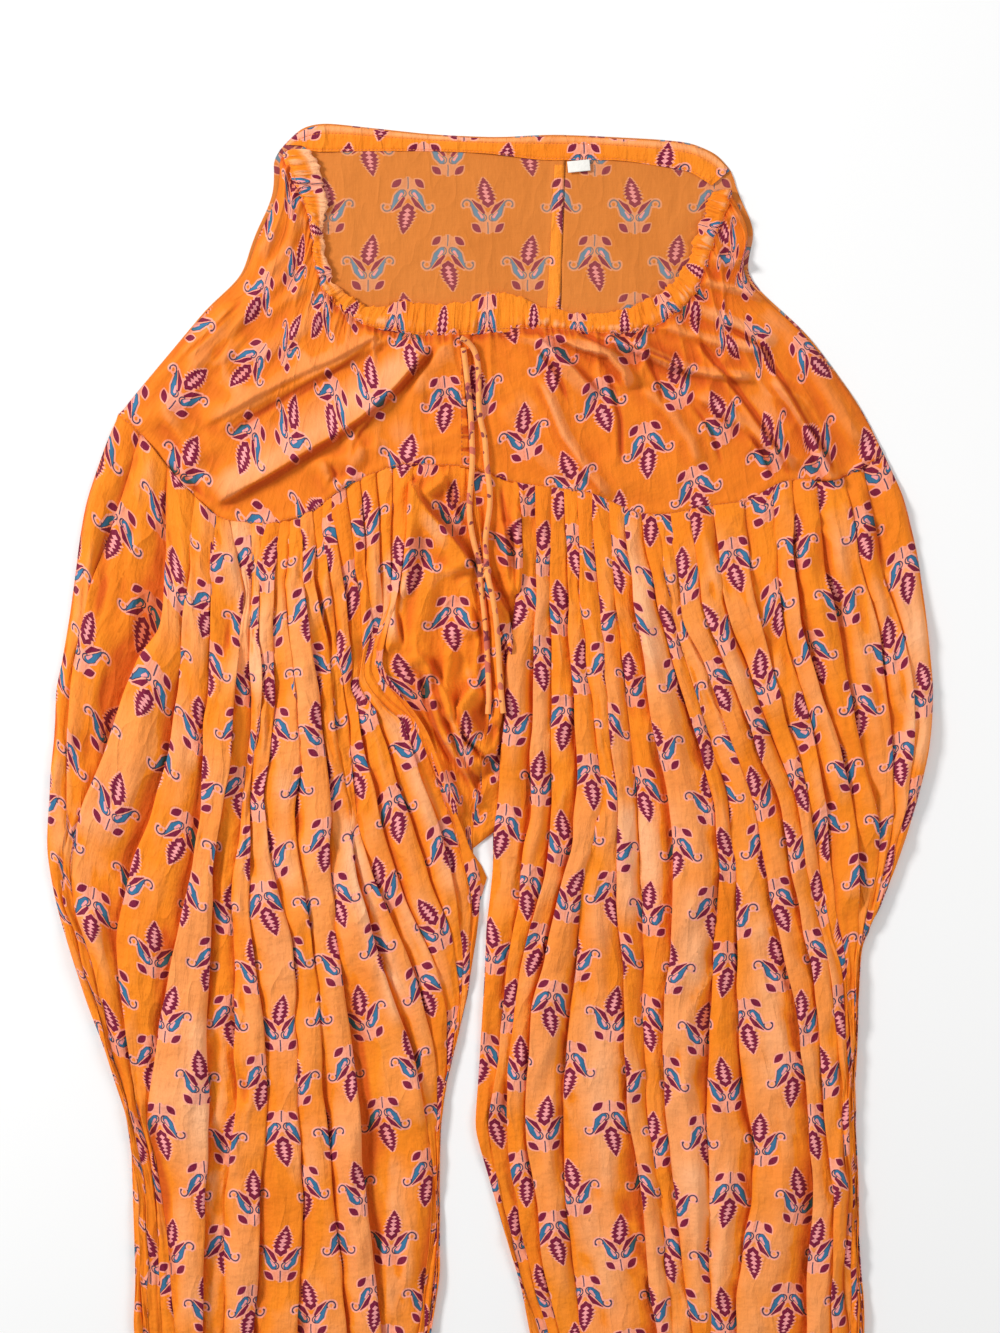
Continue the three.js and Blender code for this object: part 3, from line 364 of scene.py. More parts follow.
def print_group():
    """The sprig print, drawn as shapes on the flat cloth. Input: cloth coordinates in metres."""
    g = bpy.data.node_groups.new("SprigPrint", "ShaderNodeTree")
    g.interface.new_socket("Cloth", in_out="INPUT", socket_type="NodeSocketVector")
    for name in ("Maroon", "Blue", "Grey", "Pink", "Halo"):
        g.interface.new_socket(name, in_out="OUTPUT", socket_type="NodeSocketFloat")
    t = Tree(g)
    gi, go = t.node("NodeGroupInput"), t.node("NodeGroupOutput")
    sep = t.node("ShaderNodeSeparateXYZ")
    g.links.new(gi.outputs[0], sep.inputs[0])
    U, V = t.m("MULTIPLY", sep.outputs[0], 1000.0), t.m("MULTIPLY", sep.outputs[1], 1000.0)
    vr = t.m("DIVIDE", V, 46.0)
    row = t.m("FLOOR", vr)
    q = t.m("MULTIPLY", t.m("SUBTRACT", t.m("SUBTRACT", vr, row), 0.5), 46.0)
    odd = t.m("FLOORED_MODULO", row, 2.0)
    uc = t.m("SUBTRACT", t.m("DIVIDE", U, 64.0), t.m("MULTIPLY", odd, 0.5))
    col = t.m("FLOOR", uc)
    p = t.m("MULTIPLY", t.m("SUBTRACT", t.m("SUBTRACT", uc, col), 0.5), 64.0)
    half = t.m("FLOOR", t.m("MULTIPLY_ADD", row, 0.5, 0.5))
    par = t.m("FLOORED_MODULO", t.m("ADD", col, half), 2.0)
    s = t.m("SUBTRACT", 1.0, t.m("MULTIPLY", par, 2.0))
    k = 1 / 1.0
    q = t.m("MULTIPLY_ADD", t.m("MULTIPLY", q, s), k, 1.4)
    p = t.m("MULTIPLY", t.m("MULTIPLY", p, s), k)
    # hand-block wobble
    ap = t.m("ABSOLUTE", p)
    tilt = t.m("MULTIPLY", t.m("MULTIPLY_ADD", odd, 2.0, -1.0), s)
    # central leaf
    up = t.m("DIVIDE", t.m("ADD", q, 0.6), 24.8)
    lean = t.m("MULTIPLY", t.m("MAXIMUM", t.m("SUBTRACT", q, 4.0), 0.0), 0.2)
    pl = t.m("ABSOLUTE", t.m("SUBTRACT", p, t.m("MULTIPLY", lean, tilt)))
    width = t.curve(up, [(0, 0.0), (0.08, 0.42), (0.22, 0.82), (0.4, 1.0), (0.6, 0.88), (0.78, 0.56), (0.91, 0.24), (1, 0.0)])
    inside = t.m("MULTIPLY", t.m("LESS_THAN", t.m("ABSOLUTE", t.m("SUBTRACT", up, 0.5)), 0.5), 1.0)
    tooth = t.m("FRACT", t.m("DIVIDE", t.m("SUBTRACT", q, t.m("MULTIPLY", pl, 0.55)), 3.0))
    w = t.m("ADD", t.m("MULTIPLY", width, 7.3), t.m("MULTIPLY", t.m("MULTIPLY", tooth, width), -2.3))
    d_leaf = t.m("SUBTRACT", pl, w)
    outside = t.m("MULTIPLY", t.m("SUBTRACT", 1.0, inside), 8.0)
    d_leaf = t.m("ADD", d_leaf, outside)
    vein = t.m("FRACT", t.m("DIVIDE", t.m("SUBTRACT", q, t.m("MULTIPLY", pl, 0.75)), 3.4))
    heart = t.m("SUBTRACT", pl, t.m("MULTIPLY_ADD", width, 2.9, t.m("MULTIPLY_ADD", vein, -2.8, 0.25)))
    heart = t.m("ADD", heart, t.m("MULTIPLY", t.m("GREATER_THAN", t.m("ABSOLUTE", t.m("SUBTRACT", up, 0.47)), 0.36), 8.0))
    # commas: a band with a curled head and a hooked tail
    spot = t.node("ShaderNodeCombineXYZ")
    t.put(spot.inputs[0], ap)
    t.put(spot.inputs[1], q)
    spot = spot.outputs[0]

    def limb(a, b, ra, rb):
        """Distance to a tapered stroke between two points."""
        dx, dy = b[0] - a[0], b[1] - a[1]
        pa = t.node("ShaderNodeVectorMath", operation="SUBTRACT")
        t.put(pa.inputs[0], spot)
        pa.inputs[1].default_value = (a[0], a[1], 0)
        dot = t.node("ShaderNodeVectorMath", operation="DOT_PRODUCT")
        t.put(dot.inputs[0], pa.outputs[0])
        dot.inputs[1].default_value = (dx / (dx * dx + dy * dy), dy / (dx * dx + dy * dy), 0)
        h = t.m("ADD", dot.outputs["Value"], 0.0, clamp=True)
        on = t.node("ShaderNodeVectorMath", operation="SCALE")
        on.inputs[0].default_value = (dx, dy, 0)
        t.put(on.inputs["Scale"], h)
        far = t.node("ShaderNodeVectorMath", operation="DISTANCE")
        t.put(far.inputs[0], pa.outputs[0])
        t.put(far.inputs[1], on.outputs[0])
        return t.m("SUBTRACT", t.m("MULTIPLY_ADD", h, ra - rb, far.outputs["Value"]), ra)

    def bow(cx, cy, r, wide):
        """Distance to a thin circle."""
        far = t.node("ShaderNodeVectorMath", operation="DISTANCE")
        t.put(far.inputs[0], spot)
        far.inputs[1].default_value = (cx, cy, 0)
        return t.m("SUBTRACT", t.m("ABSOLUTE", t.m("SUBTRACT", far.outputs["Value"], r)), wide)

    d_band = t.m("MINIMUM", t.m("MINIMUM", limb((5.2, -8.8), (9.0, -5.2), 2.7, 2.6), limb((9.0, -5.2), (11.9, 0.6), 2.6, 1.45)), limb((11.9, 0.6), (13.6, 4.4), 1.45, 0.6))
    d_lit = limb((4.9, -7.8), (7.6, -4.0), 1.15, 0.6)
    d_curl = t.m("MAXIMUM", bow(3.9, -8.4, 2.75, 0.5), t.m("SUBTRACT", ap, 4.4))
    d_hook = t.m("MAXIMUM", t.m("MAXIMUM", bow(16.9, 2.6, 3.3, 0.58), t.m("SUBTRACT", 1.0, q)), t.m("SUBTRACT", 13.4, ap))
    d_hook = t.m("MINIMUM", d_hook, limb((19.9, 1.4), (19.4, 0.9), 0.85, 0.7))
    d_com = t.m("MINIMUM", t.m("MINIMUM", d_band, d_curl), d_hook)
    d_in = t.m("MINIMUM", limb((3.2, -4.4), (6.9, 0.6), 1.0, 1.85), limb((6.9, 0.6), (13.0, 5.8), 1.85, 0.3))

    def leaf(cx, cy, angle, long, wide):
        c, n = math.cos(angle), math.sin(angle)
        x, y = t.m("SUBTRACT", ap, cx), t.m("SUBTRACT", q, cy)
        a = t.m("ADD", t.m("MULTIPLY", x, c), t.m("MULTIPLY", y, n))
        b = t.m("ABSOLUTE", t.m("SUBTRACT", t.m("MULTIPLY", y, c), t.m("MULTIPLY", x, n)))
        an = t.m("DIVIDE", a, long)
        shape = t.m("MULTIPLY", t.m("SUBTRACT", 1.0, t.m("MULTIPLY", an, an)), wide)
        return t.m("SUBTRACT", b, shape), b, a

    d_bud, _, _ = leaf(9.2, -16.4, math.radians(43), 5.0, 2.6)
    d_stem = t.m("MAXIMUM", t.m("SUBTRACT", ap, 0.5), t.m("SUBTRACT", t.m("ABSOLUTE", t.m("ADD", q, 16.6)), 4.6))
    d_mar = t.m("MINIMUM", t.m("MINIMUM", d_leaf, d_in), d_bud)
    maroon = t.m("LESS_THAN", d_mar, 0.0)
    lit = t.m("LESS_THAN", d_lit, 0.0)
    pink = t.m("MAXIMUM", t.m("LESS_THAN", heart, 0.0), lit)
    rim = t.m("GREATER_THAN", d_band, -0.5)
    band = t.m("MULTIPLY", t.m("LESS_THAN", d_band, 0.0), t.m("SUBTRACT", 1.0, lit))
    blue = t.m("MULTIPLY", band, t.m("SUBTRACT", 1.0, rim))
    grey = t.m("MAXIMUM", t.m("MULTIPLY", band, rim), t.m("LESS_THAN", t.m("MINIMUM", t.m("MINIMUM", d_curl, d_hook), d_stem), 0.0))
    d_all = t.m("MINIMUM", t.m("MINIMUM", d_mar, d_com), d_stem)
    ring = t.m("LESS_THAN", d_all, 1.3)
    base = t.m("ADD", t.m("POWER", t.m("DIVIDE", ap, 8.0), 2.0), t.m("POWER", t.m("DIVIDE", t.m("ADD", q, 12.5), 8.5), 2.0))
    fill = t.m("MULTIPLY", t.m("LESS_THAN", base, 1.0), 0.75)
    halo = t.m("MAXIMUM", ring, fill)
    for out, v in zip(go.inputs, (maroon, blue, grey, pink, halo)):
        t.put(out, v)
    return g


PRINT = print_group()


def cotton(name, base, deep, pale, marks, strength=1.0, rough=0.78, sheen=0.13, offset=(0.0, 0.0), with_print=True, use_painted_light=True, crush=0.75):
    mat = bpy.data.materials.new(name)
    mat.use_nodes = True
    nt = mat.node_tree
    nt.nodes.clear()
    t = Tree(nt)
    out = t.node("ShaderNodeOutputMaterial")
    bsdf = t.node("ShaderNodeBsdfPrincipled")
    nt.links.new(bsdf.outputs[0], out.inputs[0])
    uv = t.node("ShaderNodeUVMap", uv_map="Cloth")
    shift = t.node("ShaderNodeVectorMath", operation="ADD")
    nt.links.new(uv.outputs[0], shift.inputs[0])
    shift.inputs[1].default_value = (offset[0] / 1000, offset[1] / 1000, 0)
    cloth = shift.outputs[0]
    # uneven dye, large and small
    big = t.noise(cloth, 14.0, 2.0)
    small = t.noise(cloth, 110.0, 3.0, 0.6)
    tone = t.m("MULTIPLY_ADD", small, 0.35, t.m("MULTIPLY_ADD", big, 0.9, -0.15), clamp=True)
    colour = t.mix(tone, deep, base)
    # painted highlight: where the mesh's painted light value is above 0, the colour is mixed towards the pale highlight
    # colour
    if use_painted_light:
        att = t.node("ShaderNodeAttribute", attribute_name="Pale")
        soft = t.m("MULTIPLY", att.outputs["Fac"], t.m("MULTIPLY_ADD", big, 1.3, 0.5), clamp=True)
        colour = t.mix(soft, colour, pale)
    # slubs: single thick threads both ways
    sx = t.node("ShaderNodeMapping")
    sx.inputs["Scale"].default_value = (1400, 60, 1)
    nt.links.new(cloth, sx.inputs[0])
    sy = t.node("ShaderNodeMapping")
    sy.inputs["Scale"].default_value = (60, 1400, 1)
    nt.links.new(cloth, sy.inputs[0])
    warp, weft = t.noise(sx.outputs[0], 1.0, 1.0), t.noise(sy.outputs[0], 1.0, 1.0)
    thread = t.m("MULTIPLY", t.m("ADD", warp, weft), 0.5)
    if with_print:
        pg = t.node("ShaderNodeGroup")
        pg.node_tree = PRINT
        wob = t.node("ShaderNodeTexNoise")
        wob.inputs["Scale"].default_value = 90.0
        wob.inputs["Detail"].default_value = 1.0
        nt.links.new(cloth, wob.inputs["Vector"])
        off = t.node("ShaderNodeVectorMath", operation="MULTIPLY_ADD")
        nt.links.new(wob.outputs["Color"], off.inputs[0])
        off.inputs[1].default_value = (0.0016, 0.0016, 0)
        nt.links.new(cloth, off.inputs[2])
        nt.links.new(off.outputs[0], pg.inputs[0])
        o = pg.outputs
        wear = t.m("MULTIPLY_ADD", thread, 0.3, strength - 0.15, clamp=True)
        for key, colr in (("Halo", marks[4]), ("Maroon", marks[0]), ("Pink", marks[3]), ("Blue", marks[1]), ("Grey", marks[2])):
            f = t.m("MULTIPLY", o[key], wear)
            if key == "Halo":
                f = t.m("MULTIPLY", f, 0.85)
            colour = t.mix(f, colour, colr)
    # painted shade: where that value is below 0, the colour is multiplied down towards a deep brown-orange
    if use_painted_light:
        painted_shade_amount = t.m("MULTIPLY", att.outputs["Fac"], -1.0, clamp=True)
        painted_shade_mix = t.node("ShaderNodeMix", data_type="RGBA", blend_type="MULTIPLY")
        nt.links.new(painted_shade_amount, painted_shade_mix.inputs[0])
        nt.links.new(colour, painted_shade_mix.inputs[6])
        painted_shade_mix.inputs[7].default_value = (0.70, 0.41, 0.2, 1)
        colour = painted_shade_mix.outputs[2]
    shade = t.node("ShaderNodeMix", data_type="RGBA", blend_type="MULTIPLY")
    shade.inputs[0].default_value = 0.5
    nt.links.new(colour, shade.inputs[6])
    grey = t.node("ShaderNodeCombineColor")
    lum = t.m("MULTIPLY_ADD", thread, 0.3, 0.85)
    for i in range(3):
        nt.links.new(lum, grey.inputs[i])
    nt.links.new(grey.outputs[0], shade.inputs[7])
    nt.links.new(shade.outputs[2], bsdf.inputs["Base Color"])
    # plain weave, with small crumples
    tw = t.node("ShaderNodeSeparateXYZ")
    nt.links.new(cloth, tw.inputs[0])
    wx = t.m("SINE", t.m("MULTIPLY", tw.outputs[0], 2 * math.pi * 2400))
    wy = t.m("SINE", t.m("MULTIPLY", tw.outputs[1], 2 * math.pi * 2400))
    weave = t.m("MULTIPLY", t.m("MULTIPLY", wx, wy), 0.00003)
    cr = t.node("ShaderNodeMapping")
    cr.inputs["Scale"].default_value = (150, 38, 1)
    nt.links.new(cloth, cr.inputs[0])
    crumple = t.noise(cr.outputs[0], 1.0, 3.0, 0.62)
    cr2 = t.node("ShaderNodeMapping")
    cr2.inputs["Scale"].default_value = (55, 75, 1)
    nt.links.new(cloth, cr2.inputs[0])
    crumple2 = t.noise(cr2.outputs[0], 1.0, 3.0, 0.55)
    fold = t.node("ShaderNodeMapping")
    fold.inputs["Scale"].default_value = (46, 17, 1)
    fold.inputs["Rotation"].default_value = (0, 0, 0.25)
    nt.links.new(cloth, fold.inputs[0])
    line = t.m("SUBTRACT", 1.0, t.m("ABSOLUTE", t.m("MULTIPLY_ADD", t.noise(fold.outputs[0], 1.0, 1.0), 4.0, -2.0)), clamp=True)
    line = t.m("POWER", line, 4.0)
    height = t.m("ADD", weave, t.m("ADD", t.m("MULTIPLY", crumple, 0.0026), t.m("MULTIPLY", crumple2, 0.0034)))
    height = t.m("ADD", height, t.m("MULTIPLY", line, 0.0012))
    height = t.m("ADD", height, t.m("MULTIPLY", thread, 0.00004))
    bump = t.node("ShaderNodeBump")
    bump.inputs["Strength"].default_value = crush
    bump.inputs["Distance"].default_value = 1.0
    nt.links.new(height, bump.inputs["Height"])
    nt.links.new(bump.outputs[0], bsdf.inputs["Normal"])
    rg = t.m("MULTIPLY_ADD", small, 0.16, rough - 0.08)
    nt.links.new(rg, bsdf.inputs["Roughness"])
    bsdf.inputs["Specular IOR Level"].default_value = 0.25
    bsdf.inputs["Sheen Weight"].default_value = sheen
    bsdf.inputs["Sheen Roughness"].default_value = 0.45
    bsdf.inputs["Sheen Tint"].default_value = (1.0, 0.72, 0.5, 1)
    return mat


MARKS = (rgb(122, 14, 54), rgb(48, 112, 150), rgb(74, 62, 84), rgb(248, 160, 160), rgb(255, 168, 148))
INSIDE_MARKS = (rgb(132, 38, 62), rgb(88, 130, 148), rgb(120, 112, 108), rgb(238, 150, 140), rgb(226, 150, 108))
# the pale colours are painted highlight colours, mixed in by the painted light value
ORANGE = dict(base=rgb(252, 146, 30), deep=rgb(243, 124, 8), pale=rgb(255, 186, 136), marks=MARKS)
# the belt's copy of the same cotton, a little darker: painted shade
BELT_ORANGE = dict(base=rgb(243, 134, 28), deep=rgb(231, 112, 8), pale=rgb(255, 182, 130), marks=MARKS)


def printed(name, offset=(0.0, 0.0), **kw):
    return cotton(name, **ORANGE, offset=offset, **kw)


def plain_cotton(name, base, deep, bits=False, scale=1.0):
    """Cotton in object coordinates, for the string, stitches and tag."""
    mat = bpy.data.materials.new(name)
    mat.use_nodes = True
    nt = mat.node_tree
    nt.nodes.clear()
    t = Tree(nt)
    out = t.node("ShaderNodeOutputMaterial")
    bsdf = t.node("ShaderNodeBsdfPrincipled")
    nt.links.new(bsdf.outputs[0], out.inputs[0])
    co = t.node("ShaderNodeTexCoord").outputs["Object"]
    n1, n2 = t.noise(co, 120.0 * scale, 3.0), t.noise(co, 900.0 * scale, 2.0)
    colour = t.mix(n1, deep, base)
    if bits:
        spot = t.noise(co, 85.0, 1.0)
        colour = t.mix(t.m("MULTIPLY", t.m("GREATER_THAN", spot, 0.6), 0.8), colour, rgb(190, 84, 84))
        spot2 = t.noise(co, 140.0, 1.0)
        colour = t.mix(t.m("MULTIPLY", t.m("GREATER_THAN", spot2, 0.64), 0.9), colour, rgb(120, 40, 60))
    nt.links.new(colour, bsdf.inputs["Base Color"])
    bump = t.node("ShaderNodeBump")
    bump.inputs["Strength"].default_value = 0.6
    bump.inputs["Distance"].default_value = 1.0
    nt.links.new(t.m("ADD", t.m("MULTIPLY", n1, 0.0009), t.m("MULTIPLY", n2, 0.00012)), bump.inputs["Height"])
    nt.links.new(bump.outputs[0], bsdf.inputs["Normal"])
    nt.links.new(t.m("MULTIPLY_ADD", n2, 0.2, 0.7), bsdf.inputs["Roughness"])
    bsdf.inputs["Sheen Weight"].default_value = 0.2
    bsdf.inputs["Specular IOR Level"].default_value = 0.25
    return mat


# ---------------------------------------------------------------- legs
# Each fold: name, lean (+1: its upper layer is on the left, -1: on the right), height in mm, where it starts on
# the seam, then picture points down the leg, then where it is weak: (y, strength) pairs.
LEFT_FOLDS = [
    ("outer roll", -1, 5.0, 140, [(88, 600), (70, 700), (62, 800), (64, 900), (92, 1000), (122, 1100), (140, 1200), (141, 1333)], [(560, .2), (640, .8), (760, .5), (1000, .3), (1100, .15), (1333, .15)]),
    ("bulge edge", -1, 8.5, 166, [(164, 610), (158, 635), (137, 655), (119, 706), (101, 757), (84, 800), (78, 826), (70, 869), (70, 900), (98, 1000), (128, 1100), (147, 1200), (148, 1333)], [(560, .4), (620, 1), (900, .7), (1000, .4), (1150, .18), (1333, .18)]),
    ("side crease", -1, 6.5, 192, [(186, 584), (180, 630), (178, 681), (173, 719), (168, 757), (157, 796), (145, 836), (132, 869), (124, 902), (117, 938), (119, 959), (124, 1030), (134, 1100), (156, 1200), (160, 1333)], [(560, .7), (760, 1), (980, .5), (1333, .5)]),
    ("long crease 1", -1, 7.5, 210, [(208, 600), (206, 700), (202, 790), (198, 831), (188, 895), (173, 959), (163, 1010), (155, 1061), (147, 1107), (146, 1150), (166, 1220), (172, 1333)], [(560, .9), (700, .5), (800, 1), (1333, .8)]),
    ("long crease 2", 1, 8.0, 230, [(244, 589), (242, 630), (237, 681), (234, 732), (231, 770), (224, 795), (214, 851), (209, 984), (212, 1106), (208, 1200), (207, 1333)], [(540, 1), (1333, 1)]),
    ("low crease", -1, 5.5, 250, [(253, 600), (252, 700), (240, 800), (232, 900), (232, 1000), (235, 1106), (221, 1200), (225, 1333)], [(540, .6), (760, .3), (950, .4), (1080, 1), (1333, 1)]),
    ("middle crease 1", 1, 7.0, 270, [(270, 525), (260, 579), (265, 681), (257, 744), (252, 780), (252, 831), (249, 882), (252, 943), (262, 1000), (271, 1106), (263, 1200), (254, 1333)], [(540, 1), (1333, .9)]),
    ("middle crease 2", 1, 6.0, 281, [(277, 600), (276, 700), (266, 770), (262, 793), (270, 856), (288, 913), (295, 943), (298, 984), (300, 1081), (306, 1200), (300, 1333)], [(540, 1), (720, .6), (800, 1), (1333, .9)]),
    ("middle crease 3", 1, 8.0, 291, [(290, 543), (288, 604), (293, 655), (298, 719), (305, 770), (297, 813), (300, 856), (308, 908), (316, 959), (325, 1050), (327, 1106), (336, 1200), (348, 1333)], [(540, 1), (1000, .8), (1333, 1)]),
    ("long crease 3", 1, 8.5, 302, [(305, 579), (311, 642), (321, 706), (328, 757), (333, 856), (339, 933), (346, 997), (354, 1055), (361, 1112), (365, 1163), (368, 1200), (373, 1251), (383, 1333)], [(540, 1), (1333, 1)]),
    ("pale ridge", 1, 9.0, 313, [(318, 590), (332, 690), (340, 760), (348, 805), (358, 882), (374, 933), (389, 984), (407, 1035), (425, 1099), (434, 1163), (432, 1240), (420, 1333)], [(540, 1), (1100, 1), (1200, .4), (1333, .4)]),
    ("inner crease 1", 1, 6.0, 323, [(331, 590), (343, 690), (352, 770), (361, 831), (378, 887), (410, 959), (422, 999), (433, 1030), (438, 1073), (437, 1200), (425, 1333)], [(540, 1), (1000, .8), (1080, .3), (1333, .2)]),
    ("inner crease 2", 1, 6.5, 333, [(344, 590), (354, 660), (366, 760), (384, 830), (404, 900), (434, 965), (448, 1010), (447, 1070), (441, 1160), (438, 1240), (427, 1333)], [(540, 1), (760, .6), (950, .3), (1333, .2)]),
    ("inner crease 3", 1, 7.0, 346, [(355, 575), (364, 640), (374, 700), (398, 780), (424, 850), (450, 930), (460, 1000), (450, 1080), (442, 1160), (439, 1240), (428, 1333)], [(540, 1), (700, .8), (850, .5), (1000, .2), (1333, .2)]),
    ("inner crease 4", 1, 6.5, 360, [(368, 580), (374, 640), (384, 690), (412, 750), (437, 820), (460, 900), (466, 960), (455, 1060), (443, 1160), (440, 1240), (429, 1333)], [(540, 1), (700, .8), (850, .7), (960, .3), (1333, .2)]),
    ("inner crease 5", 1, 7.5, 376, [(382, 580), (384, 630), (391, 680), (417, 735), (440, 790), (462, 860), (472, 910), (468, 980), (457, 1060), (444, 1160), (441, 1240), (430, 1333)], [(540, 1), (680, .8), (850, .6), (1333, .2)]),
    ("inner crease 6", 1, 6.0, 393, [(393, 570), (391, 620), (393, 660), (400, 690)], [(540, 1), (640, .8), (720, .3), (1333, .1)]),
]
RIGHT_FOLDS = [
    ("inner crease 1", -1, 7.0, 534, [(534, 600), (533, 700), (528, 800), (518, 900), (505, 1000), (496, 1073), (490, 1130), (503, 1200), (520, 1270), (538, 1333)], [(540, 1), (700, .7), (1000, .7), (1333, .3)]),
    ("inner crease 2", -1, 6.5, 549, [(550, 600), (552, 700), (551, 800), (545, 860), (528, 940), (515, 1000), (507, 1073), (508, 1150), (526, 1250), (546, 1333)], [(540, 1), (720, .6), (860, 1), (1333, .7)]),
    ("inner crease 3", -1, 8.0, 563, [(565, 600), (572, 700), (577, 780), (570, 844), (542, 959), (529, 1010), (524, 1073), (526, 1150), (541, 1250), (558, 1333)], [(540, 1), (1333, 1)]),
    ("inner crease 4", -1, 6.5, 576, [(580, 600), (590, 700), (598, 793), (583, 856), (577, 908), (568, 1000), (562, 1100), (564, 1200), (580, 1333)], [(540, 1), (1333, .8)]),
    ("long crease 1", -1, 7.5, 590, [(597, 600), (606, 700), (615, 800), (616, 831), (613, 908), (621, 984), (621, 1035), (625, 1112), (634, 1163), (645, 1250), (656, 1333)], [(540, 1), (1333, 1)]),
    ("middle crease 1", -1, 5.0, 606, [(613, 600), (626, 700), (638, 800), (642, 933), (642, 1000), (646, 1100), (656, 1200), (672, 1333)], [(540, 1), (640, .9), (740, .25), (960, .1), (1060, .8), (1333, .8)]),
    ("middle crease 2", -1, 8.5, 622, [(633, 600), (648, 700), (664, 780), (671, 856), (673, 895), (670, 946), (660, 997), (664, 1100), (674, 1200), (692, 1333)], [(540, 1), (1333, .9)]),
    ("long crease 2", -1, 7.0, 640, [(656, 610), (680, 693), (697, 742), (712, 802), (717, 863), (714, 923), (708, 983), (704, 1080), (706, 1200), (710, 1333)], [(540, 1), (860, .9), (1000, .4), (1333, .7)]),
    ("low crease", -1, 6.5, 652, [(668, 615), (689, 680), (711, 742), (730, 802), (735, 863), (736, 928), (738, 1024), (744, 1093), (755, 1149), (750, 1204), (737, 1273), (732, 1333)], [(540, 1), (650, .7), (800, .2), (900, .8), (1333, 1)]),
    ("long crease 3", -1, 8.0, 666, [(683, 625), (698, 657), (728, 730), (748, 790), (760, 851), (776, 923), (792, 997), (802, 1080), (808, 1149), (811, 1204), (806, 1287), (806, 1333)], [(540, 1), (1333, 1)]),
    ("middle crease 3", -1, 7.5, 688, [(702, 610), (740, 717), (777, 802), (786, 863), (799, 923), (812, 980), (818, 1060), (825, 1135), (829, 1176), (830, 1259), (834, 1333)], [(540, 1), (1333, .9)]),
    ("outer crease 1", -1, 6.0, 712, [(722, 600), (756, 700), (794, 790), (806, 863), (818, 914), (831, 983), (839, 1066), (846, 1115), (846, 1200), (848, 1333)], [(540, 1), (760, .6), (900, 1), (1333, .5)]),
    ("outer crease 2", 1, 6.0, 745, [(753, 600), (780, 700), (808, 790), (820, 863), (828, 914), (842, 983), (847, 1066), (851, 1115), (851, 1200), (853, 1333)], [(540, 1), (700, .6), (900, .6), (1333, .3)]),
    ("outer crease 3", 1, 6.5, 775, [(781, 590), (788, 640), (806, 693), (821, 778), (830, 860), (836, 923), (849, 983), (853, 1066), (854, 1200), (857, 1333)], [(540, 1), (640, .6), (760, 1), (960, .4), (1333, .3)]),
    ("bulge edge", 1, 9.0, 793, [(796, 572), (801, 621), (816, 669), (835, 730), (848, 785), (857, 839), (860, 875), (858, 923), (855, 1000), (856, 1200), (861, 1333)], [(540, .9), (620, 1), (880, .9), (960, .3), (1333, .3)]),
    ("bulge fold", 1, 6.0, 818, [(826, 560), (836, 608), (848, 681), (864, 766), (880, 814), (880, 863), (866, 923), (857, 1000), (858, 1200), (863, 1333)], [(540, .8), (860, .8), (930, .2), (1333, .1)]),
    ("outer fold", 1, 5.0, 845, [(860, 560), (876, 608), (884, 681), (894, 766), (898, 814), (888, 863), (871, 923), (858, 1000), (859, 1200), (865, 1333)], [(540, .7), (800, .6), (930, .2), (1333, .1)]),
    ("rim fold", 1, 4.0, 864, [(880, 560), (899, 621), (911, 669), (917, 730), (912, 790), (897, 851), (874, 923), (859, 1000), (860, 1200), (866, 1333)], [(540, .5), (800, .8), (930, .2), (1333, .1)]),
]
FACE, UNDER = 12, 5


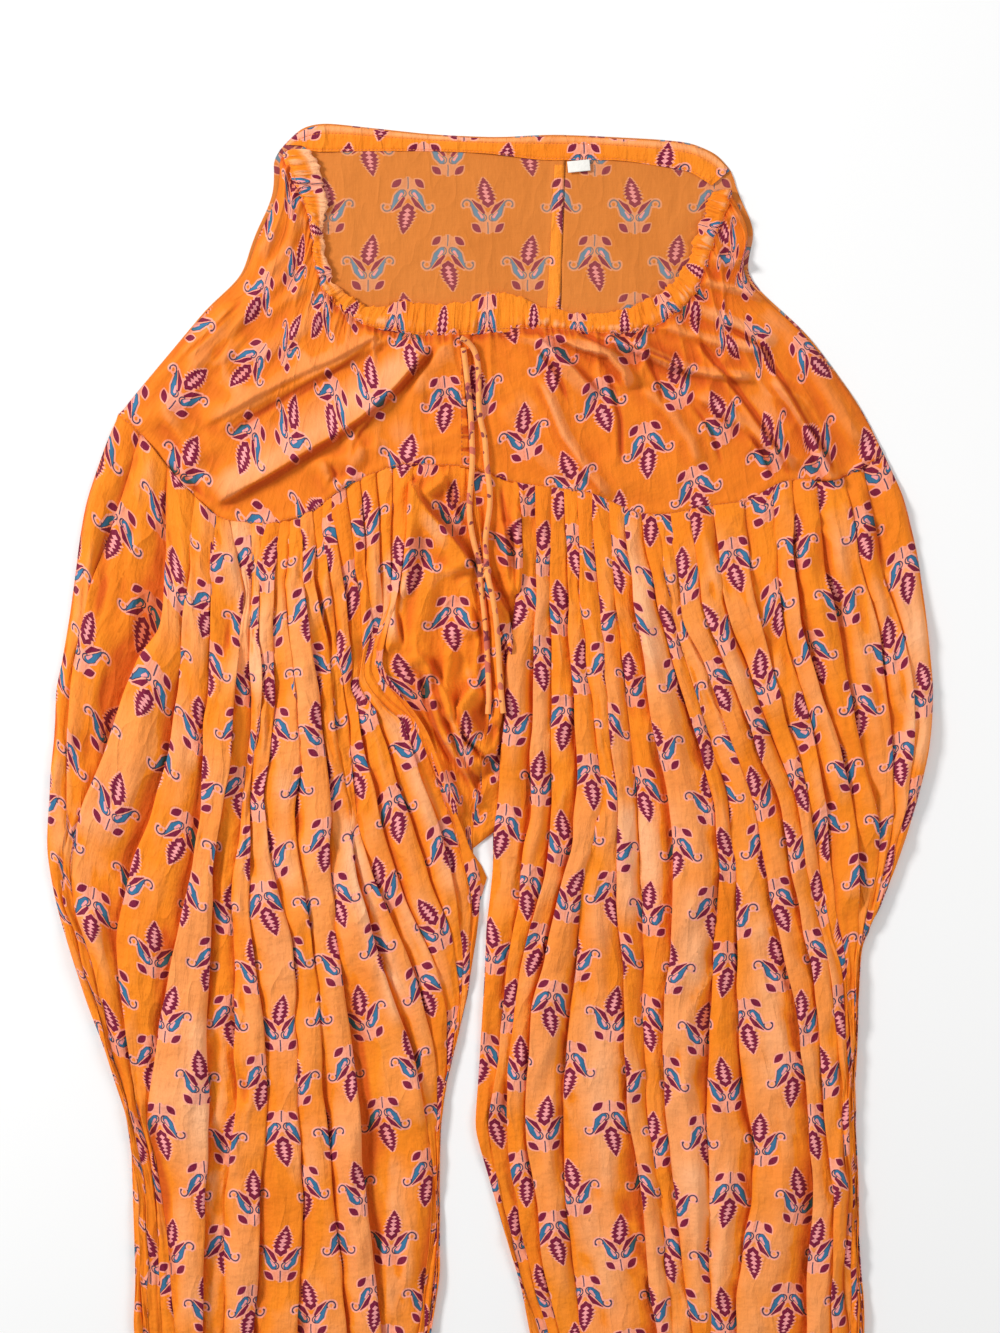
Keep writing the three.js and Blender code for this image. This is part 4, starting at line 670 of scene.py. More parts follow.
def leg_surface(folds, side, seed, rows):
    """side -1: left leg, outer edge first; +1: right leg, inner edge first. Returns P, UV, the painted highlight value
    and the painted crease shade value.
    """
    v = np.linspace(0, 1, rows) ** 1.12
    outer, inner = (out_left, in_left) if side < 0 else (out_right, in_right)
    low_f, high_f = (outer, inner) if side < 0 else (inner, outer)
    low_s = SEAM[0][0] if side < 0 else INNER[0][2]
    high_s = INNER[0][1] if side < 0 else SEAM[-1][0]
    end_y = CUFF_TOP - 3.0
    F = len(folds)
    X, H, S = np.zeros((F, rows)), np.zeros((F, rows)), np.zeros((F, rows))
    LY = lerp(seam_y(low_s), end_y, v)
    HY = lerp(seam_y(high_s), end_y, v)
    XL = np.where(v == 0, low_s, low_f(LY))
    XH = np.where(v == 0, high_s, high_f(HY))
    lean = np.array([f[1] for f in folds])
    for k, (name, _, high, seam_px, pts, weak) in enumerate(folds):
        sx = (seam_px - 490) * MM
        y = lerp(seam_y(sx), end_y, v)
        p = px([(seam_px, 815 - seam_y(sx) / MM)] + list(pts))
        order = np.argsort(-p[:, 1])
        py, pxx = p[order, 1], p[order, 0]
        keep = np.concatenate([[True], np.diff(py) < -0.5])
        path = curve(py[keep], pxx[keep], 7)
        x = path(y)
        foot = -414.4
        fl, fh = low_f(foot), high_f(foot)
        part = (path(foot) - fl) / (fh - fl)
        below = y < foot
        x = np.where(below, lerp(low_f(y), high_f(y), part), x)
        X[k] = x
        wy = np.array([(815 - w[0]) * MM for w in weak][::-1])
        ws = np.array([w[1] for w in weak][::-1])
        S[k] = ease(np.interp(y, wy, ws))
        run = (seam_y(sx) - y)
        grow = lerp(0.28, 1.0, ease(run / 95))
        settle = lerp(1.0, 0.8, ease((run - 420) / 250)) * lerp(1.0, 0.5, ease((run - 690) / 70))
        wave = 1 + 0.28 * noise(y / 90 + 13 * k, 0.5, seed + 3 * k) + 0.15 * noise(y / 33 + 5 * k, 0.5, seed + 3 * k + 1)
        H[k] = high * grow * settle * wave
        X[k] += ease(run / 60) * (2.2 * noise(y / 62, 3.3 * k, seed + 40 + k) + 1.1 * noise(y / 24, 5.1 * k, seed + 60 + k))
    room = lerp(4.2, 5.0, ease(v / 0.1))
    gap_here = np.minimum(room, (XH - XL) / (F + 3))
    held = ease((S - 0.16) / 0.3)
    gaps = [lerp(0.5, gap_here, np.minimum(held[max(k - 1, 0)], held[min(k, F - 1)])) for k in range(F + 1)]
    for k in range(F):
        X[k] = np.maximum(X[k], (X[k - 1] if k else XL) + gaps[k])
    for k in range(F - 1, -1, -1):
        X[k] = np.minimum(X[k], (X[k + 1] if k < F - 1 else XH) - gaps[k + 1])
    lo_gap = np.diff(np.vstack([XL[None], X, XH[None]]), axis=0)
    near = blur(np.minimum(lo_gap[:-1], lo_gap[1:]), 2.0, 1)
    crowd = ease((near - 4.6) / 5.5)
    S = S * crowd
    H = H * (0.25 + 0.75 * S) * (0.06 + 0.94 * crowd)
    # cloth taken up by each fold, the same all the way down
    take = np.zeros(F)
    for k in range(F):
        vis = lo_gap[k] if lean[k] < 0 else lo_gap[k + 1]
        take[k] = np.percentile(vis, 70) * 1.3 + 5
    D = np.zeros((F, rows))
    for k in range(F):
        vis = lo_gap[k] if lean[k] < 0 else lo_gap[k + 1]
        D[k] = np.clip((take[k] - vis) / 2, 2.2, 9.5)
        room_k = lo_gap[k + 1] if lean[k] < 0 else lo_gap[k]
        D[k] = np.minimum(D[k], room_k * 0.62) * (0.06 + 0.94 * S[k])
    D = blur(D, 2.0, 1)
    rim_free = ease((-22 - (HY if side < 0 else LY)) / 16)      # 1 where the inner edge is free, below the crotch
    base = 2.5
    seam_base = base + 1.6 * ease(np.minimum(XL * 0 + 1, 1))
    ctrl_x, ctrl_z, counts = [], [], []

    def point(x, z, count):
        ctrl_x.append(x)
        ctrl_z.append(z)
        counts.append(count)

    edge_round = ease(v / 0.05)
    if side < 0:
        point(XL + 1.8, np.full(rows, 1.15), 0)
        point(XL, 2.3 + 0.6 * edge_round, 4)
    else:
        tuck = lerp(6.5, 1.8, rim_free) * ease(v / 0.03)
        point(XL + tuck, lerp(2.7, 1.2, rim_free), 0)
        point(XL, lerp(6.8, 2.7, rim_free) * lerp(0.6, 1, ease(v / 0.08)), 4)
    for k in range(F):
        trough = 2.5 + 0.35 * noise(v * 9, k * 1.7, seed + 90)
        top = base + H[k]
        if lean[k] > 0:
            point(X[k], top, FACE)
            point(X[k] - D[k], trough, UNDER)
        else:
            point(X[k] + D[k], trough, FACE)
            point(X[k], top, UNDER)
    if side < 0:
        point(XH, lerp(7.2, 2.7, rim_free) * lerp(0.6, 1, ease(v / 0.08)), FACE)
        point(XH - lerp(6.5, 1.8, rim_free) * ease(v / 0.03), lerp(2.7, 1.2, rim_free), 4)
    else:
        point(XH, 2.3 + 0.6 * edge_round, FACE)
        point(XH - 1.8, np.full(rows, 1.15), 4)
    xs, zs, spans = [ctrl_x[0]], [ctrl_z[0]], []
    for i in range(1, len(ctrl_x)):
        n = counts[i]
        long = n == FACE
        spans.append((len(xs) - 1, len(xs) - 1 + n, long))
        wide = np.abs(ctrl_x[i] - ctrl_x[i - 1])
        puff = 0.16 * np.minimum(wide, 30) * (0.75 + 0.5 * noise(v * 7, i * 2.3, seed + 60)) if long else 0
        for j in range(1, n + 1):
            f = j / n
            g = f if not long else lerp(f, 1 - (1 - f) ** 1.5 if ctrl_z[i].mean() > ctrl_z[i - 1].mean() else f ** 1.5, 0.55)
            xs.append(lerp(ctrl_x[i - 1], ctrl_x[i], f))
            zs.append(lerp(ctrl_z[i - 1], ctrl_z[i], g) + (puff * math.sin(math.pi * f) if long else 0))
    PX, PZ = np.stack(xs, 1), np.stack(zs, 1)
    C = PX.shape[1]
    # the height of every column hangs from its own point on the seam
    top_x = lerp(PX[0], PX[0], 0)
    y_top = seam_y(np.clip(top_x, min(low_s, high_s), max(low_s, high_s))) + 1.6
    PY = y_top[None, :] + (end_y - y_top[None, :]) * v[:, None]
    PX = blur(PX, 0.8, 1)
    PZ = blur(PZ, 0.85, 1)
    PX[:, 0], PX[:, -1] = xs[0], xs[-1]
    in_from = np.abs(PX - (XL if side < 0 else XH)[:, None])
    PZ = PZ + 3.4 * edge_round[:, None] * ease((in_from - 0.4) / 4.5) * np.exp(-((in_from / 17) ** 2))
    # flat cloth: true to size on each face, and what is left over goes into the hidden tucks
    step = np.hypot(np.diff(PX, axis=1), np.diff(PZ, axis=1))
    arc = np.concatenate([np.zeros((rows, 1)), np.cumsum(step, 1)], 1)
    mid_arc = np.zeros(PX.shape[1])
    for a, b, long in spans:
        run_w = arc[int(rows * .06):int(rows * .94), b] - arc[int(rows * .06):int(rows * .94), a]
        wide = np.percentile(run_w, 90 if long else 50)
        part = np.median(arc[:, a:b + 1] - arc[:, a:a + 1], 0)
        mid_arc[a:b + 1] = mid_arc[a] + part * wide / max(part[-1], 1e-6)
    U, V = np.broadcast_to(mid_arc[None], PX.shape).copy(), np.zeros(PX.shape)
    tone = np.zeros(PX.shape)
    for a, b, long in spans:
        if not long:
            continue
        m = (a + b) // 2
        cx, cy = blur(PX[:, m], 3.0), PY[:, m]
        ds = np.hypot(np.gradient(cx), np.gradient(cy))
        tx, ty = np.gradient(cx) / ds, np.gradient(cy) / ds
        sdown = np.concatenate([[0], np.cumsum((ds[1:] + ds[:-1]) / 2)])
        delta = arc[:, a:b + 1] - arc[:, m:m + 1]
        U[:, a:b + 1] = mid_arc[m] - delta * ty[:, None]
        V[:, a:b + 1] = -(sdown[:, None] + delta * tx[:, None])
        # painted light: each face gets its own random brightness, standing in for faces that tilt differently to the
        # light
        tone[:, a:b + 1] = (0.55 * noise(v * 5.5 + 1.7 * m, m * 0.37, seed + 70) + 0.35 * noise(v * 17 + 2.9 * m, m * 0.11, seed + 71))[:, None]
    for a, b, long in spans:
        if long:
            continue
        f = np.linspace(0, 1, b - a + 1)[None]
        first, last = a == 0, b == PX.shape[1] - 1
        for G in (U, V, tone):
            lo = G[:, b:b + 1] if first else G[:, a:a + 1]
            hi = G[:, a:a + 1] if last else G[:, b:b + 1]
            if G is U and first:
                lo = hi - (arc[:, b:b + 1] - arc[:, a:a + 1])
            if G is U and last:
                hi = lo + (arc[:, b:b + 1] - arc[:, a:a + 1])
            G[:, a:b + 1] = lerp(lo, hi, f)
    C = PX.shape[1]
    A = np.broadcast_to(mid_arc[None], PX.shape)
    B = np.broadcast_to((v * 780)[:, None], PX.shape)
    fade = ease(np.minimum(np.arange(C), C - 1 - np.arange(C)) / 6.0)[None] * ease(v / 0.03)[:, None]
    PZ = PZ + fade * crinkle(A, B, seed + 5, 10, 60, 0.95)
    PZ = PZ + fade * (1.5 * noise(A / 34, B / 48, seed + 17) + 0.7 * noise(A / 8, B / 17, seed + 19))
    for k, (ang, gap, amp) in enumerate(((0.4, 19, 1.9), (-0.5, 23, 1.9), (1.1, 34, 1.2), (-1.2, 38, 1.1), (0.1, 15, 1.5))):
        r1, r2 = A * math.cos(ang) + B * math.sin(ang), B * math.cos(ang) - A * math.sin(ang)
        where = ease(0.15 + noise(A / 38, B / 52, seed + 30 + k) * 1.8)
        PZ = PZ + fade * amp * where * ((1 - np.abs(noise(r1 / gap, r2 / 75, seed + 43 + k))) ** 5)
    for pts, high, left, right in (LEG_CREASES_LEFT if side < 0 else LEG_CREASES_RIGHT):
        PZ = PZ + fade * ridge(PX, PY, pts, high, left, right, (22, 22))
    PX = PX + fade * 0.9 * noise(A / 22, B / 30, seed + 23)
    PZ = np.maximum(PZ, 2.1 * fade + 1.1 * (1 - fade))
    # the first rows go under the belt
    sink = 1 - ease(v / 0.018)
    PZ = PZ - sink[:, None] * 0.9
    P = np.stack([PX, PY, PZ], -1)
    # painted shade: darker where the cloth lies below its blurred surroundings, in the creases and in thin lines beside
    # fold edges
    low = np.clip((blur(blur(PZ, 5.0, 1), 2.0, 0) - PZ) / 3.2 + 0.7 * np.clip((blur(PZ, 2.2, 1) - PZ) / 1.3 - 0.25, 0, 1), 0, 1.1)
    # painted highlight: paler where the cloth stands high, plus each face's painted light
    high = np.clip(0.25 * ease((PZ - 6.5) / 6) + 0.36 * tone, -0.25, 0.5)
    return P, np.stack([U, V], -1), high, low


# painted light: strength along listed picture lines, used for painted highlights and for painted shade
def painted_light_mask(X, Y, lines):
    out = np.zeros(X.shape)
    for pts, wide, value in lines:
        out = np.maximum(out, ridge(X, Y, pts, value, wide, wide, (25, 25)))
    return out


LEG_CREASES_LEFT = [
    ([(96, 520), (88, 600), (76, 690), (68, 760)], 3.4, 7, 3), ([(118, 500), (112, 580), (98, 660), (84, 730)], 3.0, 8, 3),
    ([(140, 510), (132, 580), (122, 640)], 2.8, 6, 3), ([(58, 790), (66, 850), (84, 905), (104, 960)], 3.0, 7, 4),
    ([(150, 640), (140, 720), (124, 800), (104, 860)], 2.6, 7, 4), ([(92, 900), (104, 980), (124, 1060)], 2.2, 6, 3),
    ([(205, 1010), (190, 1080), (176, 1160)], 2.6, 8, 3), ([(230, 1120), (240, 1200), (238, 1290)], 2.0, 7, 5),
    ([(352, 1120), (350, 1200), (362, 1290)], 2.6, 6, 3), ([(380, 940), (392, 1010), (405, 1080)], 2.4, 6, 3),
    ([(410, 1060), (420, 1130), (415, 1210), (402, 1300)], 3.4, 6, 3), ([(395, 1180), (385, 1250), (392, 1333)], 2.8, 5, 3),
    ([(300, 900), (330, 960), (345, 1040)], 2.0, 8, 4), ([(180, 900), (170, 960), (150, 1030)], 2.0, 7, 4),
    ([(322, 560), (330, 620), (345, 690)], 2.4, 4, 2), ([(245, 980), (256, 1050), (250, 1120)], 2.2, 6, 3)]
LEG_CREASES_RIGHT = [
    ([(856, 470), (872, 560), (888, 640), (898, 720)], 3.4, 4, 8), ([(826, 500), (848, 580), (862, 660), (874, 730)], 2.8, 3, 8),
    ([(893, 560), (908, 630), (914, 710), (902, 790)], 2.6, 4, 6), ([(800, 520), (815, 590), (832, 660)], 2.6, 3, 7),
    ([(740, 560), (765, 640), (790, 720)], 2.4, 7, 4), ([(700, 520), (712, 570), (735, 640)], 2.6, 6, 3),
    ([(590, 860), (597, 940), (600, 1020)], 2.4, 6, 3), ([(640, 620), (662, 700), (682, 780), (696, 860)], 2.4, 6, 3),
    ([(688, 1000), (684, 1080), (690, 1170), (700, 1260)], 3.4, 8, 3), ([(776, 1010), (785, 1090), (782, 1180), (770, 1270)], 3.0, 7, 3),
    ([(556, 1060), (546, 1130), (552, 1210), (570, 1300)], 2.6, 6, 3), ([(600, 1120), (606, 1200), (622, 1290)], 2.8, 7, 3),
    ([(662, 1121), (681, 1093), (706, 1088)], 2.6, 5, 5), ([(840, 1000), (846, 1090), (838, 1180), (846, 1280)], 3.0, 5, 4),
    ([(640, 1180), (652, 1250), (668, 1320)], 2.4, 6, 3), ([(730, 1150), (722, 1230), (712, 1310)], 2.6, 6, 4)]
# painted highlights on leg faces that catch the light: picture points, width in mm, strength
LEG_PAINTED_HIGHLIGHT_LEFT = [([(400, 540), (390, 590), (386, 650)], 9, .9), ([(384, 700), (410, 760), (436, 830), (456, 900)], 7, .55), ([(170, 1180), (190, 1260), (195, 1330)], 14, .5), ([(390, 1140), (400, 1230), (395, 1320)], 12, .5), ([(290, 1100), (310, 1200)], 12, .4), ([(60, 740), (56, 800), (60, 870)], 9, .6),
                 ([(238, 500), (240, 560), (248, 620), (254, 700)], 16, .9), ([(345, 800), (362, 890), (385, 960), (402, 1030)], 9, .9),
                 ([(395, 880), (430, 960), (440, 1010)], 13, .5), ([(195, 1000), (205, 1100), (200, 1200)], 14, .5),
                 ([(285, 760), (282, 850), (290, 900)], 10, .5), ([(90, 790), (85, 850), (100, 900)], 18, .35)]
LEG_PAINTED_HIGHLIGHT_RIGHT = [([(895, 540), (915, 620), (925, 700), (915, 780)], 14, .8), ([(626, 500), (640, 600), (655, 680)], 9, .6), ([(690, 870), (696, 930), (700, 1000)], 14, .5), ([(690, 1150), (700, 1250), (705, 1330)], 14, .5), ([(600, 880), (606, 960)], 10, .4), ([(580, 1180), (600, 1260), (620, 1333)], 12, .4),
                  ([(640, 790), (642, 860), (640, 935)], 20, 1.0), ([(752, 640), (765, 690)], 20, .5), ([(545, 880), (560, 900)], 14, .4),
                  ([(700, 520), (715, 560), (712, 600)], 14, .4), ([(760, 900), (770, 1000), (780, 1100)], 14, .45),
                  ([(600, 1000), (602, 1100), (604, 1200)], 13, .4), ([(880, 560), (890, 640), (905, 700)], 18, .4)]

CASING_FRONT, LEG_MATS = None, {}
mat_leg_left = printed("PrintedLegLeft", (0.0, 10.0))
mat_leg_right = printed("PrintedLegRight", (22.0, 26.0))
for name, folds, side, seed, mat, lines in (("cloth_leg_front_left", LEFT_FOLDS, -1, 11, mat_leg_left, LEG_PAINTED_HIGHLIGHT_LEFT),
                                            ("cloth_leg_front_right", RIGHT_FOLDS, 1, 211, mat_leg_right, LEG_PAINTED_HIGHLIGHT_RIGHT)):
    P, UV, high, low = leg_surface(folds, side, seed, 158 if side < 0 else 148)
    # painted highlight on high and listed faces, less painted shade in the creases
    pale = np.clip(high - 0.06 + 0.72 * painted_light_mask(P[..., 0], P[..., 1], lines), -0.25, 1) - 1.1 * low
    lay(name, P, UV, mat, "printed_cotton", ["leg_front_left" if side < 0 else "leg_front_right"], "gathered",
        ["leg_back_left" if side < 0 else "leg_back_right"], pale=pale)

# ---------------------------------------------------------------- belt front
OUT_TOP = {-1: (SEAM[0][0], SEAM[0][1], CASING[0][2], CASING[0][3]), 1: (SEAM[-1][0], SEAM[-1][1], CASING[-1][2], CASING[-1][3])}
# Ridges of the belt: picture points, height, width on the left and on the right of the direction of travel.
YOKE_FOLDS = [
    ([(428, 338), (424, 352), (408, 372), (388, 394), (361, 417), (335, 436), (305, 452), (284, 466), (263, 478), (236, 492), (212, 505)], 6.2, 2.2, 18),
    ([(396, 334), (372, 346), (342, 362), (312, 376), (276, 394), (240, 413), (214, 432)], 2.8, 3.2, 8),
    ([(300, 470), (330, 462), (362, 452), (392, 440)], 2.0, 5, 8), ([(352, 430), (362, 450), (362, 474)], 2.2, 3, 7),
    ([(430, 372), (436, 400), (432, 436)], 1.8, 6, 4), ([(236, 300), (212, 336), (182, 362)], 2.2, 4, 9), ([(250, 330), (228, 356), (204, 372)], 2.0, 3, 6),
    ([(385, 330), (364, 342), (340, 356), (312, 368), (284, 381), (256, 396), (228, 412), (200, 426)], 3.6, 2.4, 13),
    ([(330, 305), (300, 330), (270, 350), (235, 365)], 2.2, 6, 10),
    ([(300, 240), (280, 280), (250, 310), (215, 345), (180, 380)], 2.8, 5, 12),
    ([(315, 285), (285, 300), (262, 320)], 2.0, 4, 7),
    ([(160, 395), (170, 420), (184, 440), (200, 470), (212, 500)], 3.0, 7, 4),
    ([(190, 380), (160, 410), (140, 430)], 1.8, 8, 8),
    ([(322, 455), (326, 475), (336, 488), (350, 478), (356, 455)], 3.0, 4, 5),
    ([(345, 425), (352, 450), (350, 475)], 2.0, 6, 6),
    ([(380, 395), (400, 380), (440, 350)], -1.4, 8, 8),
    ([(458, 338), (440, 352), (425, 372), (412, 400)], 3.2, 12, 3),
    ([(470, 430), (440, 440), (410, 452), (385, 465)], 1.8, 9, 5),
    ([(513, 317), (541, 342), (575, 372), (600, 400)], 4.2, 3.5, 12),
    ([(524, 317), (552, 333), (580, 348), (608, 356), (622, 372), (630, 392)], 6.8, 9, 2.6),
    ([(560, 314), (598, 333), (636, 350), (673, 367), (715, 376), (757, 379)], 4.4, 8, 3.4),
    ([(597, 325), (625, 338), (650, 353), (690, 372)], 2.6, 5, 5),
    ([(640, 318), (680, 332), (720, 344), (770, 352)], 3.0, 8, 5),
    ([(672, 292), (700, 310), (740, 326), (780, 345)], 3.0, 7, 7),
    ([(692, 393), (737, 421), (771, 449), (796, 474)], 3.6, 10, 3.4),
    ([(640, 385), (668, 410), (690, 440), (700, 470)], 2.4, 8, 6),
    ([(768, 376), (788, 400), (805, 426), (819, 457), (838, 496), (860, 520)], 4.0, 9, 4),
    ([(796, 350), (822, 385), (845, 425), (862, 450)], 2.4, 10, 8),
    ([(538, 376), (550, 402), (563, 435), (590, 475), (612, 503)], 3.0, 9, 3),
    ([(500, 400), (520, 430), (545, 460), (570, 480)], 1.6, 9, 9),
    ([(700, 250), (722, 262), (745, 262), (762, 250)], 3.0, 4, 6),
    ([(690, 275), (715, 285), (745, 292), (768, 300)], 3.2, 5, 5),
    ([(712, 205), (730, 215), (748, 222)], 2.6, 6, 6),
    ([(292, 190), (284, 215), (270, 240), (252, 262)], 2.4, 6, 6),
    ([(303, 210), (290, 245), (262, 285)], 2.2, 4, 5),
    ([(212, 345), (190, 380), (176, 410), (165, 430)], 2.0, 9, 9),
]
# painted highlights on belt faces that catch the light: picture points, width in mm, strength
YOKE_PAINTED_HIGHLIGHT = [([(412, 346), (384, 376), (340, 405), (292, 438), (248, 466), (206, 492)], 15, .85), ([(330, 335), (260, 360), (200, 390)], 13, .35),
             ([(700, 300), (760, 330), (800, 350)], 20, .6), ([(530, 380), (548, 430), (580, 470)], 20, .5), ([(745, 380), (790, 430), (815, 470)], 16, .45),
             ([(715, 230), (750, 235)], 20, .7), ([(425, 420), (400, 440), (370, 450)], 16, .45), ([(850, 430), (868, 460)], 18, .3),
             ([(560, 340), (620, 365)], 9, .4), ([(292, 180), (300, 200), (316, 250)], 8, .4)]


# fine creases of the belt: picture points, width in mm, strength; cut into the cloth as grooves and also painted along
# as dark lines of shade
YOKE_LINES = [([(692, 333), (724, 372), (754, 413), (777, 448), (792, 479)], 1.7, 1.0), ([(722, 323), (764, 349), (805, 420), (825, 453), (837, 480)], 1.5, .9),
              ([(599, 318), (632, 347), (668, 360), (694, 382)], 1.5, .9), ([(532, 343), (556, 372), (570, 405)], 1.4, .8), ([(607, 367), (620, 418), (622, 469)], 1.6, .8),
              ([(642, 340), (658, 380), (664, 410)], 1.3, .7), ([(856, 470), (868, 462), (880, 452)], 1.4, 1.0), ([(740, 420), (764, 453), (776, 486)], 1.3, .7),
              ([(566, 322), (600, 344), (622, 356)], 1.3, .8), ([(690, 400), (712, 432), (724, 470)], 1.2, .5), ([(842, 470), (846, 490), (852, 508)], 1.3, .8),
              ([(343, 364), (296, 391), (254, 416), (222, 437)], 1.6, .9), ([(430, 352), (400, 387), (363, 420), (307, 455), (265, 481), (232, 497)], 1.6, 1.0),
              ([(375, 343), (322, 380), (284, 404)], 1.3, .7), ([(151, 455), (184, 478), (208, 500)], 1.5, 1.0), ([(326, 456), (335, 474), (326, 492)], 1.4, .8),
              ([(164, 470), (176, 492), (190, 508)], 1.3, .8), ([(246, 296), (214, 330), (180, 360)], 1.2, .6), ([(386, 400), (360, 432), (350, 462)], 1.2, .6)]


def belt_surface(side, seed, cols, rows):
    ex, ey, tx, ty = OUT_TOP[side]
    x = np.linspace(ex, CROTCH_TOP, cols) if side < 0 else np.linspace(CROTCH_TOP, ex, cols)
    s = fan_s(x)
    ix, iy, ox, oy = [c(s) for c in casing_cols]
    away = np.hypot(ox - ix, oy - iy)
    t = np.linspace(0, 1, rows)
    low_y = seam_y(x)
    top_x, top_y = ox - (ox - ix) / away * 5.0, oy - (oy - iy) / away * 5.0
    T = t[:, None]
    X, Y = lerp(top_x, x, T), lerp(top_y, low_y, T)
    near = ease(1 - np.abs(x - ex) / 110)[None] * np.ones_like(T)
    yy = lerp(ty, ey, T)
    straight = lerp(tx, ex, T)
    target = out_left(yy) if side < 0 else out_right(yy)
    X = X + near * (target - straight) * ease(T / 0.04) * ease((1 - T) / 0.02)
    # flat cloth: along the seam, and away from the casing
    seam_arc = np.concatenate([[0], np.cumsum(np.hypot(np.diff(x), np.diff(low_y)))])
    k = int(rows * 0.74)
    ex_, ey_ = np.diff(X[k]), np.diff(Y[k])
    dx_, dy_ = blur(X[k + 12] - X[k - 12], 5.0), blur(Y[k + 12] - Y[k - 12], 5.0)
    dl = np.hypot(dx_, dy_)
    dx_, dy_ = (dx_ / dl)[:-1], (dy_ / dl)[:-1]
    U = np.broadcast_to(np.concatenate([[0], np.cumsum(ex_ * -dy_ + ey_ * dx_)])[None], X.shape)
    slide = np.concatenate([[0], np.cumsum(ex_ * dx_ + ey_ * dy_)])
    down = np.concatenate([np.zeros((1, cols)), np.cumsum(np.hypot(np.diff(X, axis=0), np.diff(Y, axis=0)), 0)])
    down = blur(down, 6, 1)
    Z = 3.0 + 0 * X
    Z = Z + 1.1 * ease(1 - T) + 0.4
    crisp = 1.0 if side < 0 else 0.72         # the right half's folds are sharper
    for pts, high, left, right in YOKE_FOLDS:
        Z = Z + (1.3 if side < 0 else 2.1) * ridge(X, Y, pts, high, left * crisp, right * crisp)
    Z = np.minimum(Z, 3.9 + 0.9 * np.maximum(down - 4.0, 0))
    for pts, wide, value in YOKE_LINES:
        Z = Z - (1.9 if side < 0 else 2.6) * value * ridge(X, Y, pts, 1.0, wide * 1.3, wide * 1.3, (16, 16))
        Z = Z + 1.9 * value * ridge(X, Y, [(a - 5, b + 1.5) for a, b in pts], 1.0, 2.6, 2.6, (20, 20))
    # gathers that spread from the casing, each with its own length
    gu = seam_arc[None]
    reach = 18 + 15 * noise(gu / 17, 0.3, seed)
    fine = (1 - np.abs(noise((gu + 2.5 * noise(gu / 20, down / 30, seed + 1)) / 4.6, down / 120, seed + 2))) ** 2
    Z = Z + 2.0 * (fine - 0.35) * np.exp(-((down / np.maximum(reach, 10)) ** 1.5))
    mid = (1 - np.abs(noise(gu / 19 + 0.35 * noise(gu / 40, down / 40, seed + 3), down / 120, seed + 4))) ** 3 - 0.3
    Z = Z + 2.8 * mid * np.exp(-((down / 85) ** 2))
    Z = Z + 1.0 * noise(X / 38, Y / 30, seed + 5) + 0.4 * noise(X / 12, Y / 11, seed + 6)
    for k, (ang, gap, amp) in enumerate(((0.45, 24, 2.2), (-0.5, 27, 2.2), (1.35, 34, 1.6), (0.9, 18, 1.2))):
        r1, r2 = X * math.cos(ang) + Y * math.sin(ang), Y * math.cos(ang) - X * math.sin(ang)
        where = ease(noise(X / 50, Y / 45, seed + 30 + k) * 1.6)
        Z = Z + amp * where * ((1 - np.abs(noise(r1 / gap, r2 / 80, seed + 33 + k))) ** 5)
    # short tucks where the pleats pull on the seam
    pull = (1 - np.abs(noise(gu / 5.5, 0.7, seed + 8)))
    to_seam = (down[-1] - down)
    Z = Z + 0.9 * (pull - 0.5) * np.exp(-((to_seam / 9) ** 1.5))
    # the outer edge rolls down to the back
    edge = np.abs(x - ex)[None]
    Z = lerp(1.3, Z, ease((edge + 0.8) / 9) ** 0.6)
    # the seam lies in a groove
    Z = Z - 1.1 * np.exp(-((to_seam / 1.6) ** 2)) + 0.5 * np.exp(-(((to_seam - 5) / 3.5) ** 2))
    # centre-front seam, allowance on its left
    cf = np.abs(X - CROTCH_TOP)
    Z = Z - 1.5 * np.exp(-((cf / 1.1) ** 2))
    if side < 0:
        ladder = (1 - np.abs(noise(Y / 3.4, 0.3, 471))) ** 2
        Z = Z + (0.8 + 1.5 * (ladder - 0.4)) * ease((9.5 - cf) / 1.2)
    Z = np.maximum(Z, 1.15)
    P = np.stack([X, Y, Z], -1)
    # painted shade: dark lines under the casing, along the seam, along the listed creases and on the puckers beside the
    # centre-front seam
    line = 1.3 * np.exp(-(((down - 5.5) / 3.8) ** 2)) * (0.35 + 1.0 * (1 - fine)) + 0.5 * np.exp(-((to_seam / 1.5) ** 2))
    line = line + (1.3 if side < 0 else 1.8) * painted_light_mask(X, Y, [(pts, wide * 1.3, value) for pts, wide, value in YOKE_LINES])
    if side < 0:
        line = line + 1.1 * ease((0.62 - ladder) / 0.35) * ease((9.5 - cf) / 1.2) * ease((cf - 0.8) / 0.8)
    return P, np.stack([U, -(down - down[k:k + 1] + slide[None] + 120)], -1), line


mat_yoke_left = cotton("PrintedBeltLeft", **BELT_ORANGE, offset=(-28.0, 14.0), crush=0.55)
mat_yoke_right = cotton("PrintedBeltRight", **BELT_ORANGE, offset=(19.0, 10.0), crush=0.55)
for side, name, node, mat, seed in ((-1, "cloth_belt_front_left", "yoke_front_left", mat_yoke_left, 31), (1, "cloth_belt_front_right", "yoke_front_right", mat_yoke_right, 51)):
    P, UV, line = belt_surface(side, seed, 236, 122)
    # painted shade in the hollows, painted highlight on listed faces and on high cloth, less the painted dark lines
    low = np.clip((blur(blur(P[..., 2], 5.0, 1), 4.0, 0) - P[..., 2]) / 2.6, 0, 1)
    pale = np.clip(0.45 * painted_light_mask(P[..., 0], P[..., 1], YOKE_PAINTED_HIGHLIGHT) + 0.18 * ease((P[..., 2] - 6) / 5), 0, 1) - 0.9 * low - 0.8 * line
    lay(name, P, UV, mat, "printed_cotton", [node], "gathered", ["yoke_back_left" if side < 0 else "yoke_back_right", "casing_front"], pale=pale)

